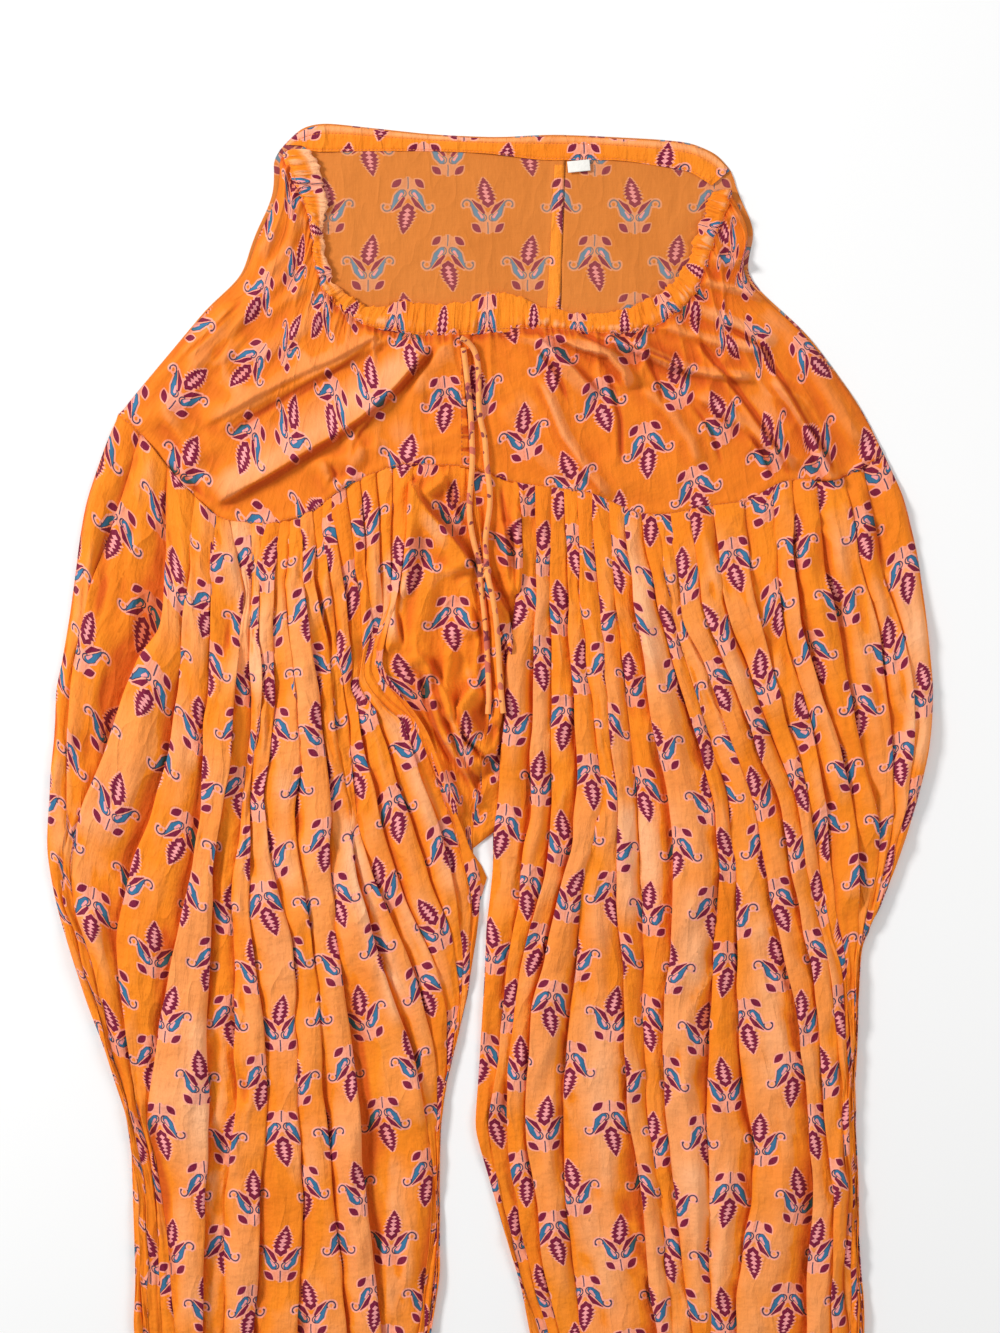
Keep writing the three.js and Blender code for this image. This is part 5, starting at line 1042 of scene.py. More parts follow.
# ---------------------------------------------------------------- gores between the legs
GORE_FOLDS = [
    ([(404, 476), (412, 490), (430, 513), (447, 530), (460, 548), (472, 572)], 6.0, 2.4, 15),
    ([(412, 478), (408, 510), (406, 543), (404, 576), (398, 600)], 4.5, 7, 3),
    ([(452, 470), (438, 484), (426, 494), (440, 516)], 2.6, 5, 5),
    ([(395, 588), (390, 620), (388, 655)], 4.0, 6, 4),
    ([(440, 560), (425, 600), (418, 640), (426, 668)], 2.6, 9, 12),
    ([(412, 648), (430, 670), (441, 688), (449, 705), (451, 725)], 4.2, 3, 8),
    ([(428, 690), (431, 706), (436, 724), (447, 742), (461, 762), (476, 782)], 4.6, 9, 2.4),
    ([(481, 682), (468, 694), (459, 708), (460, 724), (469, 737), (483, 750), (494, 762)], 5.6, 10, 2.2),
    ([(450, 640), (446, 680), (452, 720), (466, 750), (486, 772)], 2.6, 7, 3),
    ([(484, 577), (494, 612), (508, 642), (516, 664), (512, 690)], 4.2, 6, 2.6),
    ([(505, 520), (508, 560), (514, 600)], 3.2, 4, 5),
    ([(515, 505), (519, 550), (521, 600)], 3.4, 5, 3),
    ([(492, 600), (496, 640), (500, 680), (497, 730)], 2.8, 5, 5),
    ([(420, 735), (436, 760), (452, 790), (462, 820)], 2.6, 4, 6),
    ([(498, 770), (486, 790), (474, 812)], 2.2, 6, 6),
    ([(455, 770), (466, 800), (470, 836)], -1.6, 7, 7),
    ([(462, 560), (470, 600), (466, 640)], 1.6, 9, 9),
]
# painted shade beside the folds between the legs: picture points, width in mm, strength
GORE_PAINTED_SHADE = [([(436, 470), (462, 508), (482, 552)], 9, 1.0), ([(498, 480), (503, 540), (506, 580)], 8, .6), ([(412, 655), (428, 700), (448, 745)], 9, .6),
             ([(478, 690), (480, 720), (482, 745)], 7, .9), ([(486, 640), (488, 690)], 5, .6), ([(468, 705), (474, 728)], 8, 1.0), ([(404, 668), (420, 692), (436, 735)], 6, .8), ([(452, 790), (468, 828)], 7, .8),
             ([(420, 560), (412, 600), (408, 640)], 4, .8), ([(486, 560), (494, 610), (498, 640)], 5, .7), ([(502, 700), (506, 760)], 5, .7)]
# fold edges between the legs: picture points, width in mm, strength; cut in as grooves with a ridge beside, and also
# painted as dark lines of shade
GORE_LINES = [([(413, 488), (431, 511), (449, 531), (467, 552), (481, 573)], 1.7, 1.0), ([(405, 462), (413, 478), (414, 492)], 1.3, .8),
              ([(403, 530), (401, 560), (397, 612), (405, 649)], 1.3, .8), ([(432, 655), (436, 691), (445, 722), (459, 754), (475, 780), (485, 806)], 1.9, 1.0),
              ([(458, 698), (459, 722), (467, 741), (484, 755)], 1.6, 1.0), ([(492, 680), (505, 701), (503, 733), (497, 764)], 1.5, .9),
              ([(488, 571), (511, 612), (522, 649), (516, 686), (510, 733)], 1.5, .9), ([(446, 470), (452, 500), (470, 530)], 1.2, .7),
              ([(420, 668), (426, 700), (440, 740), (456, 770)], 1.4, .8), ([(472, 600), (482, 640), (480, 676)], 1.2, .6), ([(500, 480), (508, 540), (512, 590)], 1.2, .7)]
# painted highlights on faces between the legs: picture points, width in mm, strength
GORE_PAINTED_HIGHLIGHT = [([(420, 500), (436, 530), (446, 560)], 8, .45), ([(410, 560), (395, 600), (390, 650)], 8, .8), ([(462, 612), (456, 650)], 12, .5), ([(445, 560), (450, 600)], 18, .4), ([(470, 660), (462, 700)], 9, .6), ([(500, 640), (508, 670)], 8, .6), ([(440, 700), (455, 745), (475, 775)], 8, .4)]


def gore_surface(side, seed, cols, rows):
    top = INNER[0][1] if side < 0 else INNER[0][2]
    c = np.linspace(0, 1, cols)[None]
    v = np.linspace(0, 1, rows)[:, None]
    # both sides end on the lower edge of the crotch
    end_out = -33.0 if side < 0 else -9.0
    end_mid = -27.0
    tuck = 6.5 * ease(v / 0.05)
    fc = c if side < 0 else 1 - c             # 0 at the leg, 1 at the crotch seam
    y_out = lerp(seam_y(top), end_out, v)
    y_mid = lerp(seam_y(CROTCH_TOP), end_mid, v)
    Y0 = lerp(y_out, y_mid, fc)
    xo = (in_left(y_out) - tuck) if side < 0 else (in_right(y_out) + tuck)
    xm = crotch_x(y_mid)
    X = lerp(xo, xm, fc)
    Y = np.where(v == 0, seam_y(X), Y0)
    Y = Y + 1.6 * (1 - ease(v / 0.05))
    U = np.broadcast_to(c * np.median(np.abs(xo - xm)) * 1.25, X.shape)
    V = np.broadcast_to(-v * 305.0, X.shape)
    Z = 2.7 + 1.5 * (1 - ease(v / 0.1)) + 0 * X
    inside = ease(fc / 0.16 + 0 * X)
    for pts, high, left, right in GORE_FOLDS:
        Z = Z + 2.7 * inside * ridge(X, Y, pts, high, left, right, (10, 10))
    for pts, wide, value in GORE_LINES:
        Z = Z - 2.6 * value * inside * ridge(X, Y, pts, 1.0, wide * 1.2, wide * 1.2, (10, 10))
        Z = Z + 2.6 * value * inside * ridge(X, Y, [(a - 4.5, b + 2) for a, b in pts], 1.0, 2.2, 2.2, (12, 12))
    Z = Z + inside * (1.2 * noise(X / 16, Y / 22, seed) + crinkle(X, Y, seed + 3, 8, 34, 1.2))
    pull = (1 - np.abs(noise(X / 4.5, 0.7, seed + 8)))
    Z = Z + 0.8 * (pull - 0.5) * np.exp(-((v * 300 / 26) ** 2))
    # crotch seam: a narrow raised line
    d = np.abs(X - crotch_x(Y))
    Z = Z + 1.5 * np.exp(-((d / 2.1) ** 2)) * ease(v / 0.1) - 0.8 * np.exp(-(((d - 5) / 2.5) ** 2)) * ease(v / 0.1)
    Z = np.maximum(Z, 2.0)
    Z = np.where(Z > 13.0, 13.0 + 5.5 * np.tanh((Z - 13.0) / 8.0), Z)
    Z = Z - (1 - ease(v / 0.018)) * 0.9
    low = ease((1 - v) / 0.02)
    Z = lerp(1.4, Z, low ** 0.7)
    Z = np.minimum(Z, lerp(3.1, 30, ease(fc / 0.22 + 0 * X)))
    return np.stack([X, Y, Z], -1), np.stack([U, V], -1)


for side, name, node, off, seed in ((-1, "cloth_gore_front_left", "gore_front_left", (12.0, 8.0), 71), (1, "cloth_gore_front_right", "gore_front_right", (40.0, 30.0), 81)):
    P, UV = gore_surface(side, seed, 72 if side < 0 else 40, 150)
    # painted highlight on listed faces, less painted shade: listed patches, dark fold lines and the hollows
    low = np.clip((blur(blur(P[..., 2], 4.0, 1), 3.0, 0) - P[..., 2]) / 2.6, 0, 1)
    pale = np.clip(1.0 * painted_light_mask(P[..., 0], P[..., 1], GORE_PAINTED_HIGHLIGHT), 0, 1) - 0.06 - 0.62 * painted_light_mask(P[..., 0], P[..., 1], GORE_PAINTED_SHADE) - 1.35 * painted_light_mask(P[..., 0], P[..., 1], [(pts, wide * 1.2, value) for pts, wide, value in GORE_LINES]) - 0.8 * low
    lay(name, P, UV, printed("Printed_" + node, off), "printed_cotton", [node], "draped", ["gore_back_left" if side < 0 else "gore_back_right"], pale=pale)

# ---------------------------------------------------------------- gathered casing, front
CN, RN = 560, 30
s = np.linspace(0, 25, CN)
ix, iy, ox, oy = [c(s) for c in casing_cols]
mx, my = (ix + ox) / 2, (iy + oy) / 2
run = np.concatenate([[0], np.cumsum(np.hypot(np.diff(mx), np.diff(my)))])
a = np.linspace(0, 2 * math.pi, RN, endpoint=False)
across = (1 - np.cos(a)) / 2                        # 0 at the opening, 1 at the belt, and back underneath
topside = np.sin(a)                                 # above 0 on top
A, S2 = np.meshgrid(a, run, indexing="ij")
f = across[:, None]
warp = S2 + 6 * noise(S2 / 23, 0.5, 305) + 3.0 * f
pucker = (1 - np.abs(noise(warp / 2.9, 1.2 * f + 0.013 * S2, 301))) ** 1.6 - 0.45
pucker2 = noise(S2 / 8.0, 1.4 * f, 303)
flat = ease((S2 - 215) / 30) * ease((395 - S2) / 40)        # the taller, smoother stretch at the front
near_string = np.exp(-(((f - 0.72) / 0.2) ** 2))
height = CUFF_HIGH * 0.72 * (1 + 0.0 * S2)
lift = np.maximum(topside, 0)[:, None] ** 0.55
under = np.maximum(-topside, 0)[:, None] ** 0.55
grow = lerp(0.95, 0.45, flat * (1 - near_string)) * (0.75 + 0.65 * noise(S2 / 13, 0.2, 307))
Z = 3.4 + lift * (height * 0.62 * lerp(1, 0.55, flat * (1 - near_string)) + 2.9 * pucker * grow + 1.2 * pucker2 + 1.5 * near_string) - under * 1.4
wob_in = (2.2 * pucker + 2.0 * pucker2 + 1.4 * noise(S2 / 17, 0.3, 309)) * (1 - 0.2 * flat)
X = lerp(ix, ox, f) + (ix - ox) / np.hypot(ix - ox, iy - oy) * (wob_in * (1 - f) - 0.9 * pucker * f)
Y = lerp(iy, oy, f) + (iy - oy) / np.hypot(ix - ox, iy - oy) * (wob_in * (1 - f) - 0.9 * pucker * f)
# the flap at the middle of the front leans over in a soft wave
Z = Z + lift * flat * 2.0 * np.exp(-(((S2 - 300) / 22) ** 2)) * (1 - f)
P = np.stack([X, Y, Z], -1).transpose(1, 0, 2)[:, ::-1]
wide = np.hypot(ix - ox, iy - oy)
half_way = np.minimum(np.arange(RN + 1), RN - np.arange(RN + 1)) / (RN / 2)
UV = np.stack([np.broadcast_to((run * 1.75)[:, None], (CN, RN + 1)), -np.arange(RN + 1)[None] / RN * 52.0 + 0 * run[:, None]], -1)
UV2 = UV[..., ::1]
# painted highlight on the tallest puckers, painted shade in the dips, and a painted highlight along the opening edge of
# the casing's left end
pale = np.clip(0.5 * ease((P[..., 2] - 7.0) / 1.5), 0, 1) - 0.7 * np.clip((blur(P[..., 2], 3.0, 0) - P[..., 2]) / 1.6, 0, 1)
inner_edge = ease((135 - run) / 40)[:, None] * ease((0.4 - across[::-1]) / 0.15)[None]
pale = np.maximum(pale, 0.75 * inner_edge)
for i, f in enumerate((0.05, 0.6, 0.85, 0.96)):      # the tube closes at its two ends
    for e in (i, -1 - i):
        P[e] = lerp(P[e].mean(0), P[e], f)
lay("cloth_casing_front", P, UV2, printed("PrintedCasing", (8.0, 2.0)), "printed_cotton", ["casing_front"], "gathered",
    ["yoke_front_left", "yoke_front_right", "yoke_back_left", "yoke_back_right"], wrap=True, pale=pale, solid=False, size=(0.60, 0.026), area=0.0156)

# ---------------------------------------------------------------- back layer
inner_print = dict(base=rgb(222, 131, 54), deep=rgb(205, 114, 38), pale=rgb(240, 160, 104), marks=INSIDE_MARKS)
WAIST = [(-168, 532.4)]
for tx, ty, lx, ly in BACK_CASING:
    d = math.hypot(tx - lx, ty - ly)
    WAIST.append((tx + (tx - lx) / d * 1.2, ty + (ty - ly) / d * 1.2))
WAIST.append((193.6, 512))
waist_x = curve(np.arange(15) / 14, [w[0] for w in WAIST], 0.02)
waist_y = curve(np.arange(15) / 14, [w[1] for w in WAIST], 0.02)
BACK_CREASES = [([(360, 160), (362, 220), (358, 300)], -0.5, 10, 10), ([(345, 150), (352, 250), (362, 310)], 0.5, 7, 7),
                ([(470, 175), (500, 205), (560, 235)], 0.5, 6, 6), ([(420, 250), (470, 240), (530, 215)], 0.5, 5, 5), ([(660, 180), (672, 230), (668, 300)], 0.6, 7, 4),
                ([(600, 200), (625, 240), (640, 300)], 0.4, 8, 8), ([(395, 175), (440, 185), (520, 176)], 0.4, 4, 5), ([(690, 180), (684, 220), (676, 250)], 0.7, 5, 4)]
for side, name, node, f0, f1, x0, x1, off, seed in ((-1, "cloth_belt_back_left", "yoke_back_left", 0, 7.558 / 14, -298.4, 52.5, (96.9, -6.0), 91),
                                                     (1, "cloth_belt_back_right", "yoke_back_right", 7.558 / 14, 1, 52.5, 316, (-84.8 - 32 + 64 + 32, -6.0), 95)):
    cols, rows = (110, 84) if side < 0 else (90, 84)
    c, t = np.linspace(0, 1, cols)[None], np.linspace(0, 1, rows)[:, None]
    ff = lerp(f0, f1, c)
    low_x = lerp(x0, x1, c)
    X = lerp(waist_x(ff), low_x, t)
    Y = lerp(waist_y(ff), back_seam_y(low_x), t)
    # outer edge on the outline
    edge_c = (1 - c) if side < 0 else c
    target = out_left(Y) if side < 0 else out_right(Y)
    end_x = X[:, :1] if side < 0 else X[:, -1:]
    end_t = target[:, :1] if side < 0 else target[:, -1:]
    X = X + (end_t - end_x) * edge_c ** 3 * ease(t / 0.03) * ease((1 - t) / 0.03)
    Z = 0.75 + 0 * X
    for pts, high, left, right in BACK_CREASES:
        Z = Z + ridge(X, Y, pts, high, left, right, (20, 20))
    Z = Z + 0.3 * noise(X / 26, Y / 22, seed) + 0.12 * noise(X / 8, Y / 9, seed + 1)
    Z = Z + 0.35 * noise(X / 9, 0.4, seed + 2) * np.exp(-((Y - 532) / 9) ** 2)
    Z = np.clip(Z, 0.45, 2.0)
    if side < 0:                                   # seam allowance of the centre-back seam, pressed to the left
        line = lerp(56, 44, t)
        d = waist_x(8 / 14) * 0 + X[:, -1:] - X
        Z = Z + 0.5 * ease((11.5 - d) / 1.0)
    UV = np.stack([X, Y], -1)
    mat = cotton("PrintedInside_" + node, **inner_print, offset=off, strength=0.9, sheen=0.15, use_painted_light=False, crush=0.32)
    lay(name, np.stack([X, Y, Z], -1), UV, mat, "printed_cotton_inside", [node], "laid", [])

# seam allowance of the centre-back seam, stitched flat
t, w = np.linspace(0, 1, 90)[:, None], np.linspace(0, 1, 12)[None]
X = lerp(59.4, 53.2, t) - lerp(7.6, 11.6, t) * (1 - w)
Y = lerp(521.0, 330.0, t) + 0 * w
Z = 1.6 - 0.45 * w ** 4 + 0.3 * np.sin(np.pi * w) + 0.3 * (1 - np.abs(noise(t * 191 / 5.5, 0.3 * w, 421))) * np.exp(-(((w - 0.9) / 0.4) ** 2)) + 0.2 * noise(t * 191 / 17, w, 423)
# a lighter copy of the printed cotton for the raised strip: painted light
lay("cloth_seam_strip", np.stack([X, Y, Z], -1), np.stack([X, Y], -1), cotton("PrintedStrip", rgb(255, 154, 46), rgb(246, 136, 30), rgb(255, 186, 142), MARKS,
    offset=(96.9, -6.0), strength=0.95), "printed_cotton", [], "laid", ["yoke_back_left"])

# turned-in band inside the back waist
CB = 260
bf = np.linspace(0, len(BACK_CASING) - 1, CB)
cols4 = [curve(range(len(BACK_CASING)), [r[i] for r in BACK_CASING], 0.35)(bf) for i in range(4)]
t = np.linspace(0, 1, 30)[:, None]
X, Y = lerp(cols4[0], cols4[2], t), lerp(cols4[1], cols4[3], t)
arc = np.concatenate([[0], np.cumsum(np.hypot(np.diff(cols4[0]), np.diff(cols4[1])))])[None]
depth = np.hypot(cols4[0] - cols4[2], cols4[1] - cols4[3])[None]
Z = 2.0 + 0.5 * np.sin(np.pi * t) - 0.9 * ease((0.1 - t) / 0.1) + 0 * X
stitch_pull = (1 - np.abs(noise(arc / 5, 0.2, 401))) ** 2
Z = Z - 0.55 * np.exp(-(((t - 0.93) / 0.05) ** 2)) - 0.4 * np.exp(-(((t - 0.3) / 0.04) ** 2))
Z = Z + 0.6 * (stitch_pull - 0.4) * np.exp(-(((t - 0.85) / 0.25) ** 2)) + 0.4 * noise(arc / 11, t * 2, 403) + 0.25 * noise(arc / 24, t * 1.2, 405)
Z = np.clip(Z, 1.2, 4.0)
UVb = np.stack([X, Y], -1)
# painted highlight in a strip near the upper edge of the band
lay("cloth_casing_back", np.stack([X, Y, Z], -1), UVb, printed("PrintedBand", (52.0, 12.0)), "printed_cotton", ["casing_back"], "laid",
    ["yoke_back_left", "yoke_back_right"], pale=0.45 * np.exp(-(((t - 0.12) / 0.14) ** 2)) + 0 * X, size=(0.37, 0.024))


def back_leg(side, seed):
    cols, rows = 70, 84
    c, v = np.linspace(0, 1, cols)[None], np.linspace(0, 1, rows)[:, None]
    x0, x1 = (SEAM[0][0], INNER[0][1]) if side < 0 else (INNER[0][2], SEAM[-1][0])
    tx = lerp(x0, x1, c)
    Y = lerp(back_seam_y(tx), CUFF_TOP + 1.0, v)
    lo, hi = (out_left, in_left) if side < 0 else (in_right, out_right)
    tip = lambda y: (-0.8 + 6.4) * np.maximum(0, 1 - np.abs(y + 48.8) / 20) if side < 0 else 0 * y
    X = lerp(tx, lerp(lo(Y) + 0.3, hi(Y) - 0.3 + tip(Y), c), ease(v / 0.012))
    U, V = np.broadcast_to(c * 480, X.shape), np.broadcast_to(-v * 780, X.shape)
    pleat = (1 - np.abs(noise((U + 6 * noise(U / 60, V / 120, seed + 2)) / 13, V / 420, seed))) ** 2
    Z = 0.75 + 1.15 * pleat * ease(v / 0.02) + 0.25 * noise(U / 20, V / 40, seed + 1)
    edge = np.minimum(c, 1 - c) * (hi(Y) - lo(Y))
    Z = lerp(0.9, Z, ease(edge / 5))
    Z = np.clip(Z, 0.4, 2.0)
    return np.stack([X, Y, Z], -1), np.stack([U, V], -1)


for side, node in ((-1, "leg_back_left"), (1, "leg_back_right")):
    P, UV = back_leg(side, 501 + 10 * side)
    lay("cloth_" + node, P, UV, printed("Printed_" + node, (5.0, 20.0)), "printed_cotton", [node], "gathered", [])


def back_gore(side):
    cols, rows = 30, 70
    c, v = np.linspace(0, 1, cols)[None], np.linspace(0, 1, rows)[:, None]
    fc = c if side < 0 else 1 - c
    top = INNER[0][1] if side < 0 else INNER[0][2]
    y_out = lerp(back_seam_y(top), -31.0 if side < 0 else -9.0, v)
    y_mid = lerp(back_seam_y(CROTCH_TOP), -26.0, v)
    Y = lerp(y_out, y_mid, fc)
    X = lerp((in_left(y_out) + 0.3) if side < 0 else (in_right(y_out) - 0.3), crotch_x(y_mid), fc)
    Z = np.clip(0.75 + 0.5 * noise(X / 9, Y / 60, 551) ** 2 + 0.2 * noise(X / 22, Y / 20, 552), 0.4, 1.8)
    return np.stack([X, Y, Z], -1), np.stack([np.broadcast_to(c * 80, X.shape), np.broadcast_to(-v * 320, X.shape)], -1)


for side, node in ((-1, "gore_back_left"), (1, "gore_back_right")):
    P, UV = back_gore(side)
    lay("cloth_" + node, P, UV, printed("Printed_" + node, (31.0, 4.0)), "printed_cotton", [node], "laid", [])

# ---------------------------------------------------------------- cuffs
for node, x0, x1, seed in (("cuff_left", -246.4, -81.6, 601), ("cuff_right", 84.0, 248.8, 611)):
    r = CUFF_HIGH / 2
    flat_w = x1 - x0 - 2 * r
    loop = 2 * flat_w + 2 * math.pi * r
    n = 170
    d = np.linspace(0, loop, n, endpoint=False)
    X, Z, NX, NZ = (np.zeros(n) for _ in range(4))
    for i, q in enumerate(d):
        if q < flat_w:
            X[i], Z[i], NX[i], NZ[i] = x0 + r + q, 2 * r, 0, 1
        elif q < flat_w + math.pi * r:
            w = (q - flat_w) / r
            X[i], Z[i], NX[i], NZ[i] = x1 - r + r * math.sin(w), r + r * math.cos(w), math.sin(w), math.cos(w)
        elif q < 2 * flat_w + math.pi * r:
            X[i], Z[i], NX[i], NZ[i] = x1 - r - (q - flat_w - math.pi * r), 0, 0, -1
        else:
            w = (q - 2 * flat_w - math.pi * r) / r
            X[i], Z[i], NX[i], NZ[i] = x0 + r - r * math.sin(w), r - r * math.cos(w), -math.sin(w), -math.cos(w)
    rows = 34
    v = np.linspace(0, 1, rows)[:, None]
    Y = lerp(CUFF_TOP + 2.5, HEM, v) + 0 * X[None]
    quilt = 0
    for k in range(1, 7):                          # rows of firm stitching
        quilt = quilt - 0.28 * np.exp(-((((v - k / 7) * 52) / 0.9) ** 2))
    soft = 0.55 * noise(d[None] / 17, v * 2.2, seed) + 0.18 * noise(d[None] / 5, v * 5, seed + 1)
    gather = 0.9 * (1 - np.abs(noise(d[None] / 4.5, 0.4, seed + 2))) * np.exp(-((v * 52 / 7) ** 2))
    topm = (NZ > -0.5)[None] * 1.0
    off = (quilt + soft + gather) * topm + (quilt * 0.4) * (1 - topm)
    XX, ZZ = X[None] + NX[None] * off, Z[None] + NZ[None] * off * 1.0 + 0.3
    P = np.stack([XX, Y, np.maximum(ZZ, 0.3)], -1)
    UV = np.stack([np.broadcast_to(np.append(d, loop)[None], (rows, n + 1)), np.broadcast_to(-v * 52, (rows, n + 1))], -1)
    lay("cloth_" + node, P, UV, printed("Printed_" + node, (14.0, 12.0)), "printed_cotton", [node], "laid", [], thick=0.9, wrap=True,
        size=(loop / 1000, 0.0545), area=loop / 1000 * 0.0545)

# ---------------------------------------------------------------- what the string lies on
verts, polys, base = [], [], 0
for co, R, C, wrap in FRONTS:
    verts.extend(map(tuple, co.reshape(-1, 3)))
    r, c = np.meshgrid(np.arange(R - 1), np.arange(C if wrap else C - 1), indexing="ij")
    c2 = (c + 1) % C
    q = np.stack([r * C + c, (r + 1) * C + c, (r + 1) * C + c2, r * C + c2], -1).reshape(-1, 4) + base
    polys.extend(map(tuple, q))
    base += R * C
TREE = BVHTree.FromPolygons(verts, polys)


def top_z(x, y):
    hit = TREE.ray_cast(Vector((x, y, 0.1)), Vector((0, 0, -1)))
    return hit[0].z if hit[0] is not None else 0.0


def rest_z(x, y, r):
    z = top_z(x, y)
    for k in range(8):
        a = k * math.pi / 4
        for part in (0.5, 1.0):
            z = max(z, top_z(x + part * r * math.cos(a), y + part * r * math.sin(a)) - r * (1 - math.sqrt(max(0, 1 - part * part))))
    return z + r


# ---------------------------------------------------------------- drawstring
STRING_R = 2.3
ROUTES = {
    "right": [(-24, 381.2), (-18.4, 379), (-13.4, 374.4), (-10.4, 367), (-8.8, 357.6), (-9.2, 346.4), (-9.2, 333.6), (-8.8, 322.4),
              (-7.6, 314), (-5.2, 307.2), (-3.2, 297.6), (-3.4, 285.6), (-2.4, 276), (-0.8, 266.4), (0.8, 255.2), (0, 243.2),
              (-2.6, 232), (-4.4, 220), (-3.4, 210.4), (-2.8, 203), (-2.6, 195.5), (-1.6, 188), (1.2, 179), (3.2, 168.8), (4.8, 157.6),
              (6, 144.8), (6.8, 132), (7.4, 118.4), (8, 108), (8.6, 99), (9.6, 90.4), (10.8, 81.6)],
    "left": [(-21.4, 373.6), (-20.6, 365.6), (-18.8, 355.2), (-17.4, 340), (-16, 328.8), (-15.2, 318.4), (-14.4, 300), (-13.6, 285.6),
             (-14.4, 272.8), (-16, 260), (-16.8, 249.6), (-16.8, 239.2), (-15.4, 228), (-12.6, 216), (-10, 208), (-8.6, 202.4),
             (-7.6, 195.2), (-8, 187.6), (-6.4, 178), (-5.2, 168), (-4, 157.6), (-2.8, 144.8), (-2.2, 132), (-1.8, 118.4), (-1.2, 108),
             (-0.6, 98.4), (-1, 89.6), (-1.8, 80.8)],
}
string_mat = plain_cotton("StringCotton", rgb(255, 176, 104), rgb(244, 146, 66), bits=True)
seam_thread = plain_cotton("SeamThread", rgb(236, 136, 62), rgb(214, 112, 44))
knot_at = to_row([-4.8, 195.2])
knot_z = rest_z(knot_at[0], knot_at[1], 0.004) + 0.0006
made = {}
for key, route in ROUTES.items():
    p = to_row(route)
    fine = np.linspace(0, len(p) - 1, (len(p) - 1) * 4 + 1)
    x = blur(np.interp(fine, np.arange(len(p)), p[:, 0]), 2.0)
    y = np.interp(fine, np.arange(len(p)), p[:, 1])
    r = STRING_R / 1000
    z = np.array([rest_z(a, b, r) for a, b in zip(x, y)])
    if key == "right":
        z[:10] += 0.0036 * np.cos(np.linspace(0, math.pi / 2, 10))
    d = np.hypot(x - knot_at[0], y - knot_at[1])
    z = np.where(d < 0.009, lerp(z, knot_z, ease((0.009 - d) / 0.006)), z)
    for _ in range(3):                              # a limp string bridges narrow dips
        z = np.maximum(z, blur(z, 3.0))
    z = blur(z, 2.0)
    data = bpy.data.curves.new("string_" + key, "CURVE")
    data.dimensions = "3D"
    pts = np.stack([x, y, z], 1)[::4]
    if len(fine) % 4 != 1:
        pts = np.vstack([pts, [x[-1], y[-1], z[-1]]])
    sp = data.splines.new("NURBS")
    sp.points.add(len(pts) - 1)
    for q, c in zip(sp.points, pts):
        q.co = (*c, 1)
    sp.use_endpoint_u = True
    sp.order_u = 4
    sp.resolution_u = 6
    data.bevel_depth = r
    data.bevel_resolution = 3
    data.use_fill_caps = True
    o = bpy.data.objects.new("cord_string_" + key, data)
    bpy.context.scene.collection.objects.link(o)
    data.materials.append(string_mat)
    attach(o, "root")
    length = float(np.linalg.norm(np.diff(np.stack([x, y, z], 1), axis=0), axis=1).sum())
    made[key] = (o, pts[0], length)

# knot: an overhand knot pulled small
kt = np.linspace(0, 2 * math.pi, 120, endpoint=False)
kr = 3.0 + 1.15 * np.cos(3 * kt)
kx, ky, kz = kr * np.cos(2 * kt) * 0.95, kr * np.sin(2 * kt) * 1.1, 1.5 * np.sin(3 * kt)
line = np.stack([kx, ky, kz], 1) / 1000
tan = np.roll(line, -1, 0) - np.roll(line, 1, 0)
tan /= np.linalg.norm(tan, axis=1, keepdims=True)
upv = np.array([0, 0, 1.0])
n1 = np.cross(tan, upv)
n1 /= np.maximum(np.linalg.norm(n1, axis=1, keepdims=True), 1e-6)
n2 = np.cross(tan, n1)
ring_n = 10
ph = np.linspace(0, 2 * math.pi, ring_n, endpoint=False)
tube = line[:, None] + (n1[:, None] * np.cos(ph)[None, :, None] + n2[:, None] * np.sin(ph)[None, :, None]) * 0.0019
tube = tube.reshape(-1, 3) + np.array([knot_at[0], knot_at[1], knot_z])
kf = []
for i in range(120):
    for j in range(ring_n):
        i2, j2 = (i + 1) % 120, (j + 1) % ring_n
        kf.append((i * ring_n + j, i * ring_n + j2, i2 * ring_n + j2, i2 * ring_n + j))
km = bpy.data.meshes.new("knot")
km.from_pydata([tuple(q) for q in tube], [], kf)
km.polygons.foreach_set("use_smooth", np.ones(len(kf), bool))
km.update()
knot = bpy.data.objects.new("cord_knot", km)
bpy.context.scene.collection.objects.link(knot)
km.materials.append(string_mat)
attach(knot, "root")
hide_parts("string_knot")
for key, parts in (("right", [knot]), ("left", [])):
    o, first, length = made[key]
    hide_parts("string_" + key, "string_tail_" + key)

# ---------------------------------------------------------------- the cloth itself
for q in SHEETS:
    make(q)

# ---------------------------------------------------------------- size tag, blank
n, m = 25, 13
u, w = np.linspace(-0.5, 0.5, n)[None], np.linspace(0.5, -0.5, m)[:, None]
c, sn = math.cos(0.1), math.sin(0.1)
X = TAG["x"] + u * TAG["long"] * c - w * TAG["wide"] * sn
Y = TAG["y"] + 1.0 + u * TAG["long"] * sn + w * TAG["wide"] * c
Z = 3.0 + 0.5 * np.sin(math.pi * (u + 0.5)) + 0.25 * w
tag_mat = plain_cotton("TagTape", rgb(248, 246, 240), rgb(232, 228, 220), scale=2.0)
make(dict(name="tag_blank", P=np.stack([X, Y, Z], -1), UV=np.stack([u * 18 + 0 * w, w * 9 + 0 * u], -1), mat=tag_mat, slot="tag_tape", nodes=["size_tag"],
          held="laid", rests=["yoke_back_right"], thick=0.35, wrap=False, pale=None, solid=True, size=(0.018, 0.0105), area=0.018 * 0.009))


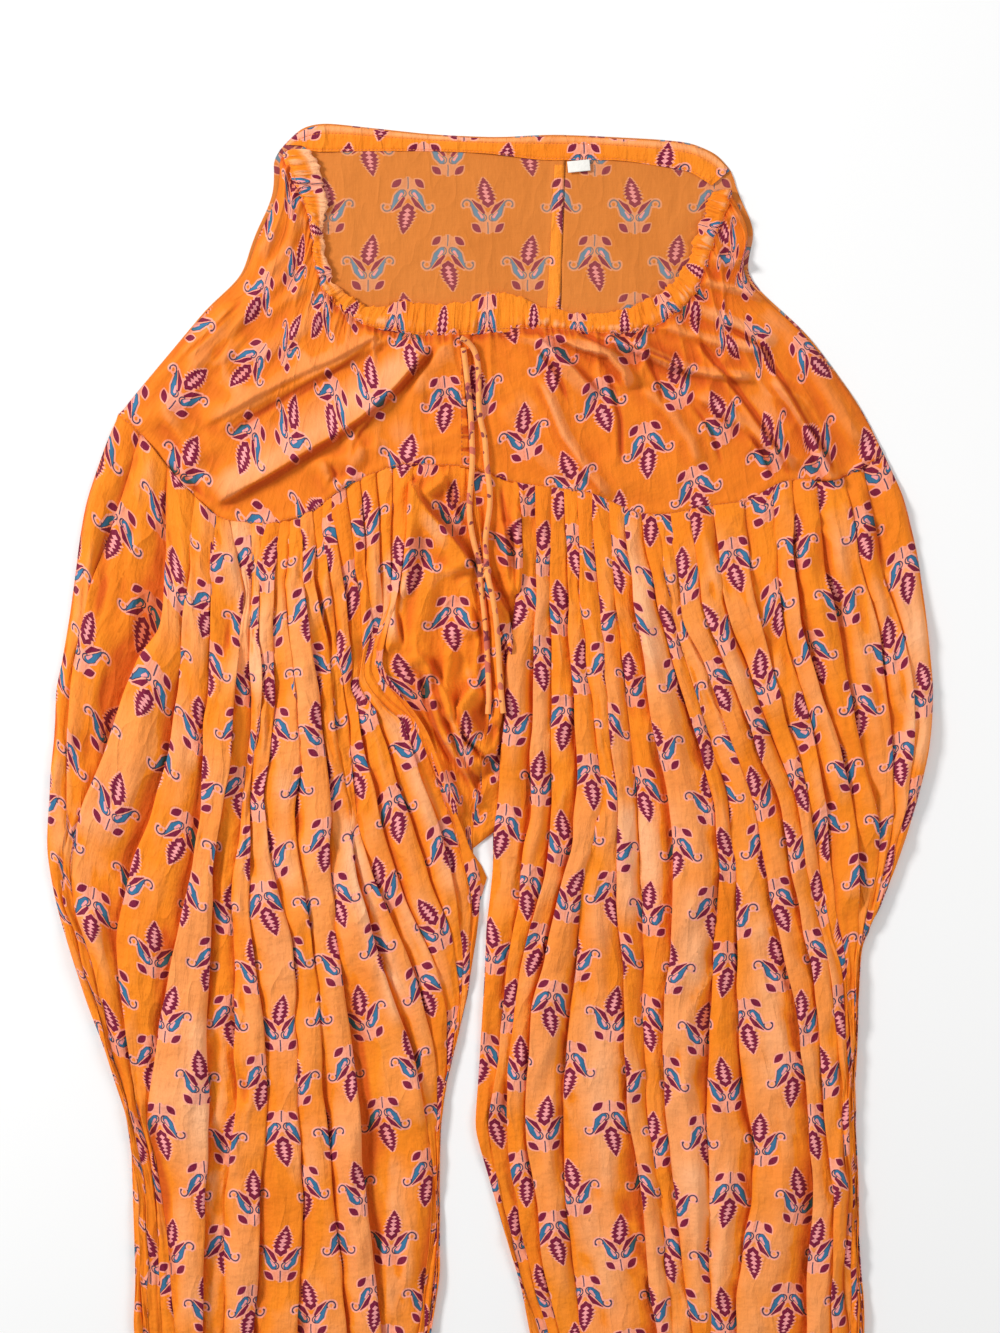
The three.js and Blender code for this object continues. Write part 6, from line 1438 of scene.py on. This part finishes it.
# ---------------------------------------------------------------- stitches
def stitches(name, line, pitch=3.0, long=2.1, thick=0.32, lift=0.12, mat=seam_thread):
    """Short threads along a line in garment mm, on top of whatever cloth is there."""
    p = np.array(line, float)
    seg = np.hypot(*np.diff(p, axis=0).T)
    run = np.concatenate([[0], np.cumsum(seg)])
    at = np.arange(pitch / 2, run[-1], pitch)
    vs, fs = [], []
    for q in at:
        ends = []
        for e in (-0.5, 0.0, 0.5):
            x, y = np.interp(q + e * long, run, p[:, 0]), np.interp(q + e * long, run, p[:, 1])
            r = to_row([x, y])
            ends.append((r[0], r[1], top_z(r[0], r[1]) + (lift if e == 0 else -0.05) / 1000))
        d = np.array(ends[2]) - np.array(ends[0])
        if np.linalg.norm(d) < 1e-6 or abs(d[2]) > 0.002:
            continue
        d /= np.linalg.norm(d)
        s1 = np.cross(d, (0, 0, 1.0))
        s1 /= max(np.linalg.norm(s1), 1e-9)
        s2 = np.cross(s1, d)
        b = len(vs)
        for i, e in enumerate(ends):
            r = (thick if i == 1 else thick * 0.55) / 1000
            for k in range(5):
                a = k * 2 * math.pi / 5
                vs.append(tuple(np.array(e) + (s1 * math.cos(a) + s2 * math.sin(a)) * r))
        for i in range(2):
            for k in range(5):
                k2 = (k + 1) % 5
                fs.append((b + i * 5 + k, b + i * 5 + k2, b + i * 5 + 5 + k2, b + i * 5 + 5 + k))
        fs.append(tuple(b + k for k in range(4, -1, -1)))
        fs.append(tuple(b + 10 + k for k in range(5)))
    mesh = bpy.data.meshes.new(name)
    mesh.from_pydata(vs, [], fs)
    mesh.polygons.foreach_set("use_smooth", np.ones(len(fs), bool))
    mesh.update()
    o = bpy.data.objects.new(name, mesh)
    bpy.context.scene.collection.objects.link(o)
    mesh.materials.append(mat)
    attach(o, "root")
    return o


sx = np.linspace(-296, 314, 300)
stitches("stitch_belt_seam", np.stack([sx, seam_y(sx) + 1.9], 1))
ty = np.linspace(382, 284, 40)
# painted shade along the centre-front seam, made as dark stitches
seam_shade_thread = plain_cotton("SeamShade", rgb(190, 92, 40), rgb(160, 72, 34))
stitches("stitch_front_seam_1", np.stack([CROTCH_TOP - 2.4 + 0 * ty, ty], 1), pitch=3.4, mat=seam_shade_thread)
stitches("stitch_front_seam_2", np.stack([CROTCH_TOP - 8.2 + 0 * ty, ty], 1), pitch=3.4, mat=seam_shade_thread)
bl = lambda f: np.stack([lerp(cols4[0], cols4[2], f), lerp(cols4[1], cols4[3], f)], 1)
stitches("stitch_band_low", bl(0.93)[4:-4])
stitches("stitch_band_high", bl(0.3)[6:-6])
stitches("stitch_casing", np.stack([lerp(ix, ox, 0.9), lerp(iy, oy, 0.9)], 1)[4:-4], pitch=2.6)
for node, x0, x1 in (("left", -246.4, -81.6), ("right", 84.0, 248.8)):
    for k in range(1, 7):
        yy = lerp(CUFF_TOP, HEM, k / 7)
        stitches(f"stitch_cuff_{node}_{k}", [(x0 + 5, yy), (x1 - 5, yy)])

# ---------------------------------------------------------------- floor and light
bpy.ops.mesh.primitive_plane_add(size=8, location=(0, 0, 0))
floor = bpy.context.object
floor.name = "floor"
fm = bpy.data.materials.new("Floor")
fm.use_nodes = True
fb = fm.node_tree.nodes["Principled BSDF"]
ft = Tree(fm.node_tree)
fn = ft.noise(ft.node("ShaderNodeTexCoord").outputs["Object"], 3.0, 2.0)
fm.node_tree.links.new(ft.mix(fn, (0.93, 0.93, 0.93, 1), (0.95, 0.95, 0.945, 1)), fb.inputs["Base Color"])
fb.inputs["Roughness"].default_value = 0.9
fb.inputs["Specular IOR Level"].default_value = 0.1
floor.data.materials.append(fm)

world = bpy.data.worlds.new("World")
bpy.context.scene.world = world
world.use_nodes = True
world.node_tree.nodes["Background"].inputs[0].default_value = (1.0, 1.0, 1.0, 1)
world.node_tree.nodes["Background"].inputs[1].default_value = 0.43


def area(name, place, target, size, power):
    light = bpy.data.lights.new(name, "AREA")
    light.shape = "SQUARE"
    light.size = size
    light.energy = power
    o = bpy.data.objects.new(name, light)
    bpy.context.scene.collection.objects.link(o)
    o.location = place
    o.rotation_euler = (Vector(target) - Vector(place)).to_track_quat("-Z", "Y").to_euler()
    return o


area("Key", (-2.1, 1.3, 1.6), (0, 0, 0), 0.6, 72)
area("Fill", (2.0, 0.3, 1.9), (0, 0, 0), 1.2, 20)
bpy.context.scene.view_settings.view_transform = "Standard"
bpy.context.scene.view_settings.look = "None"
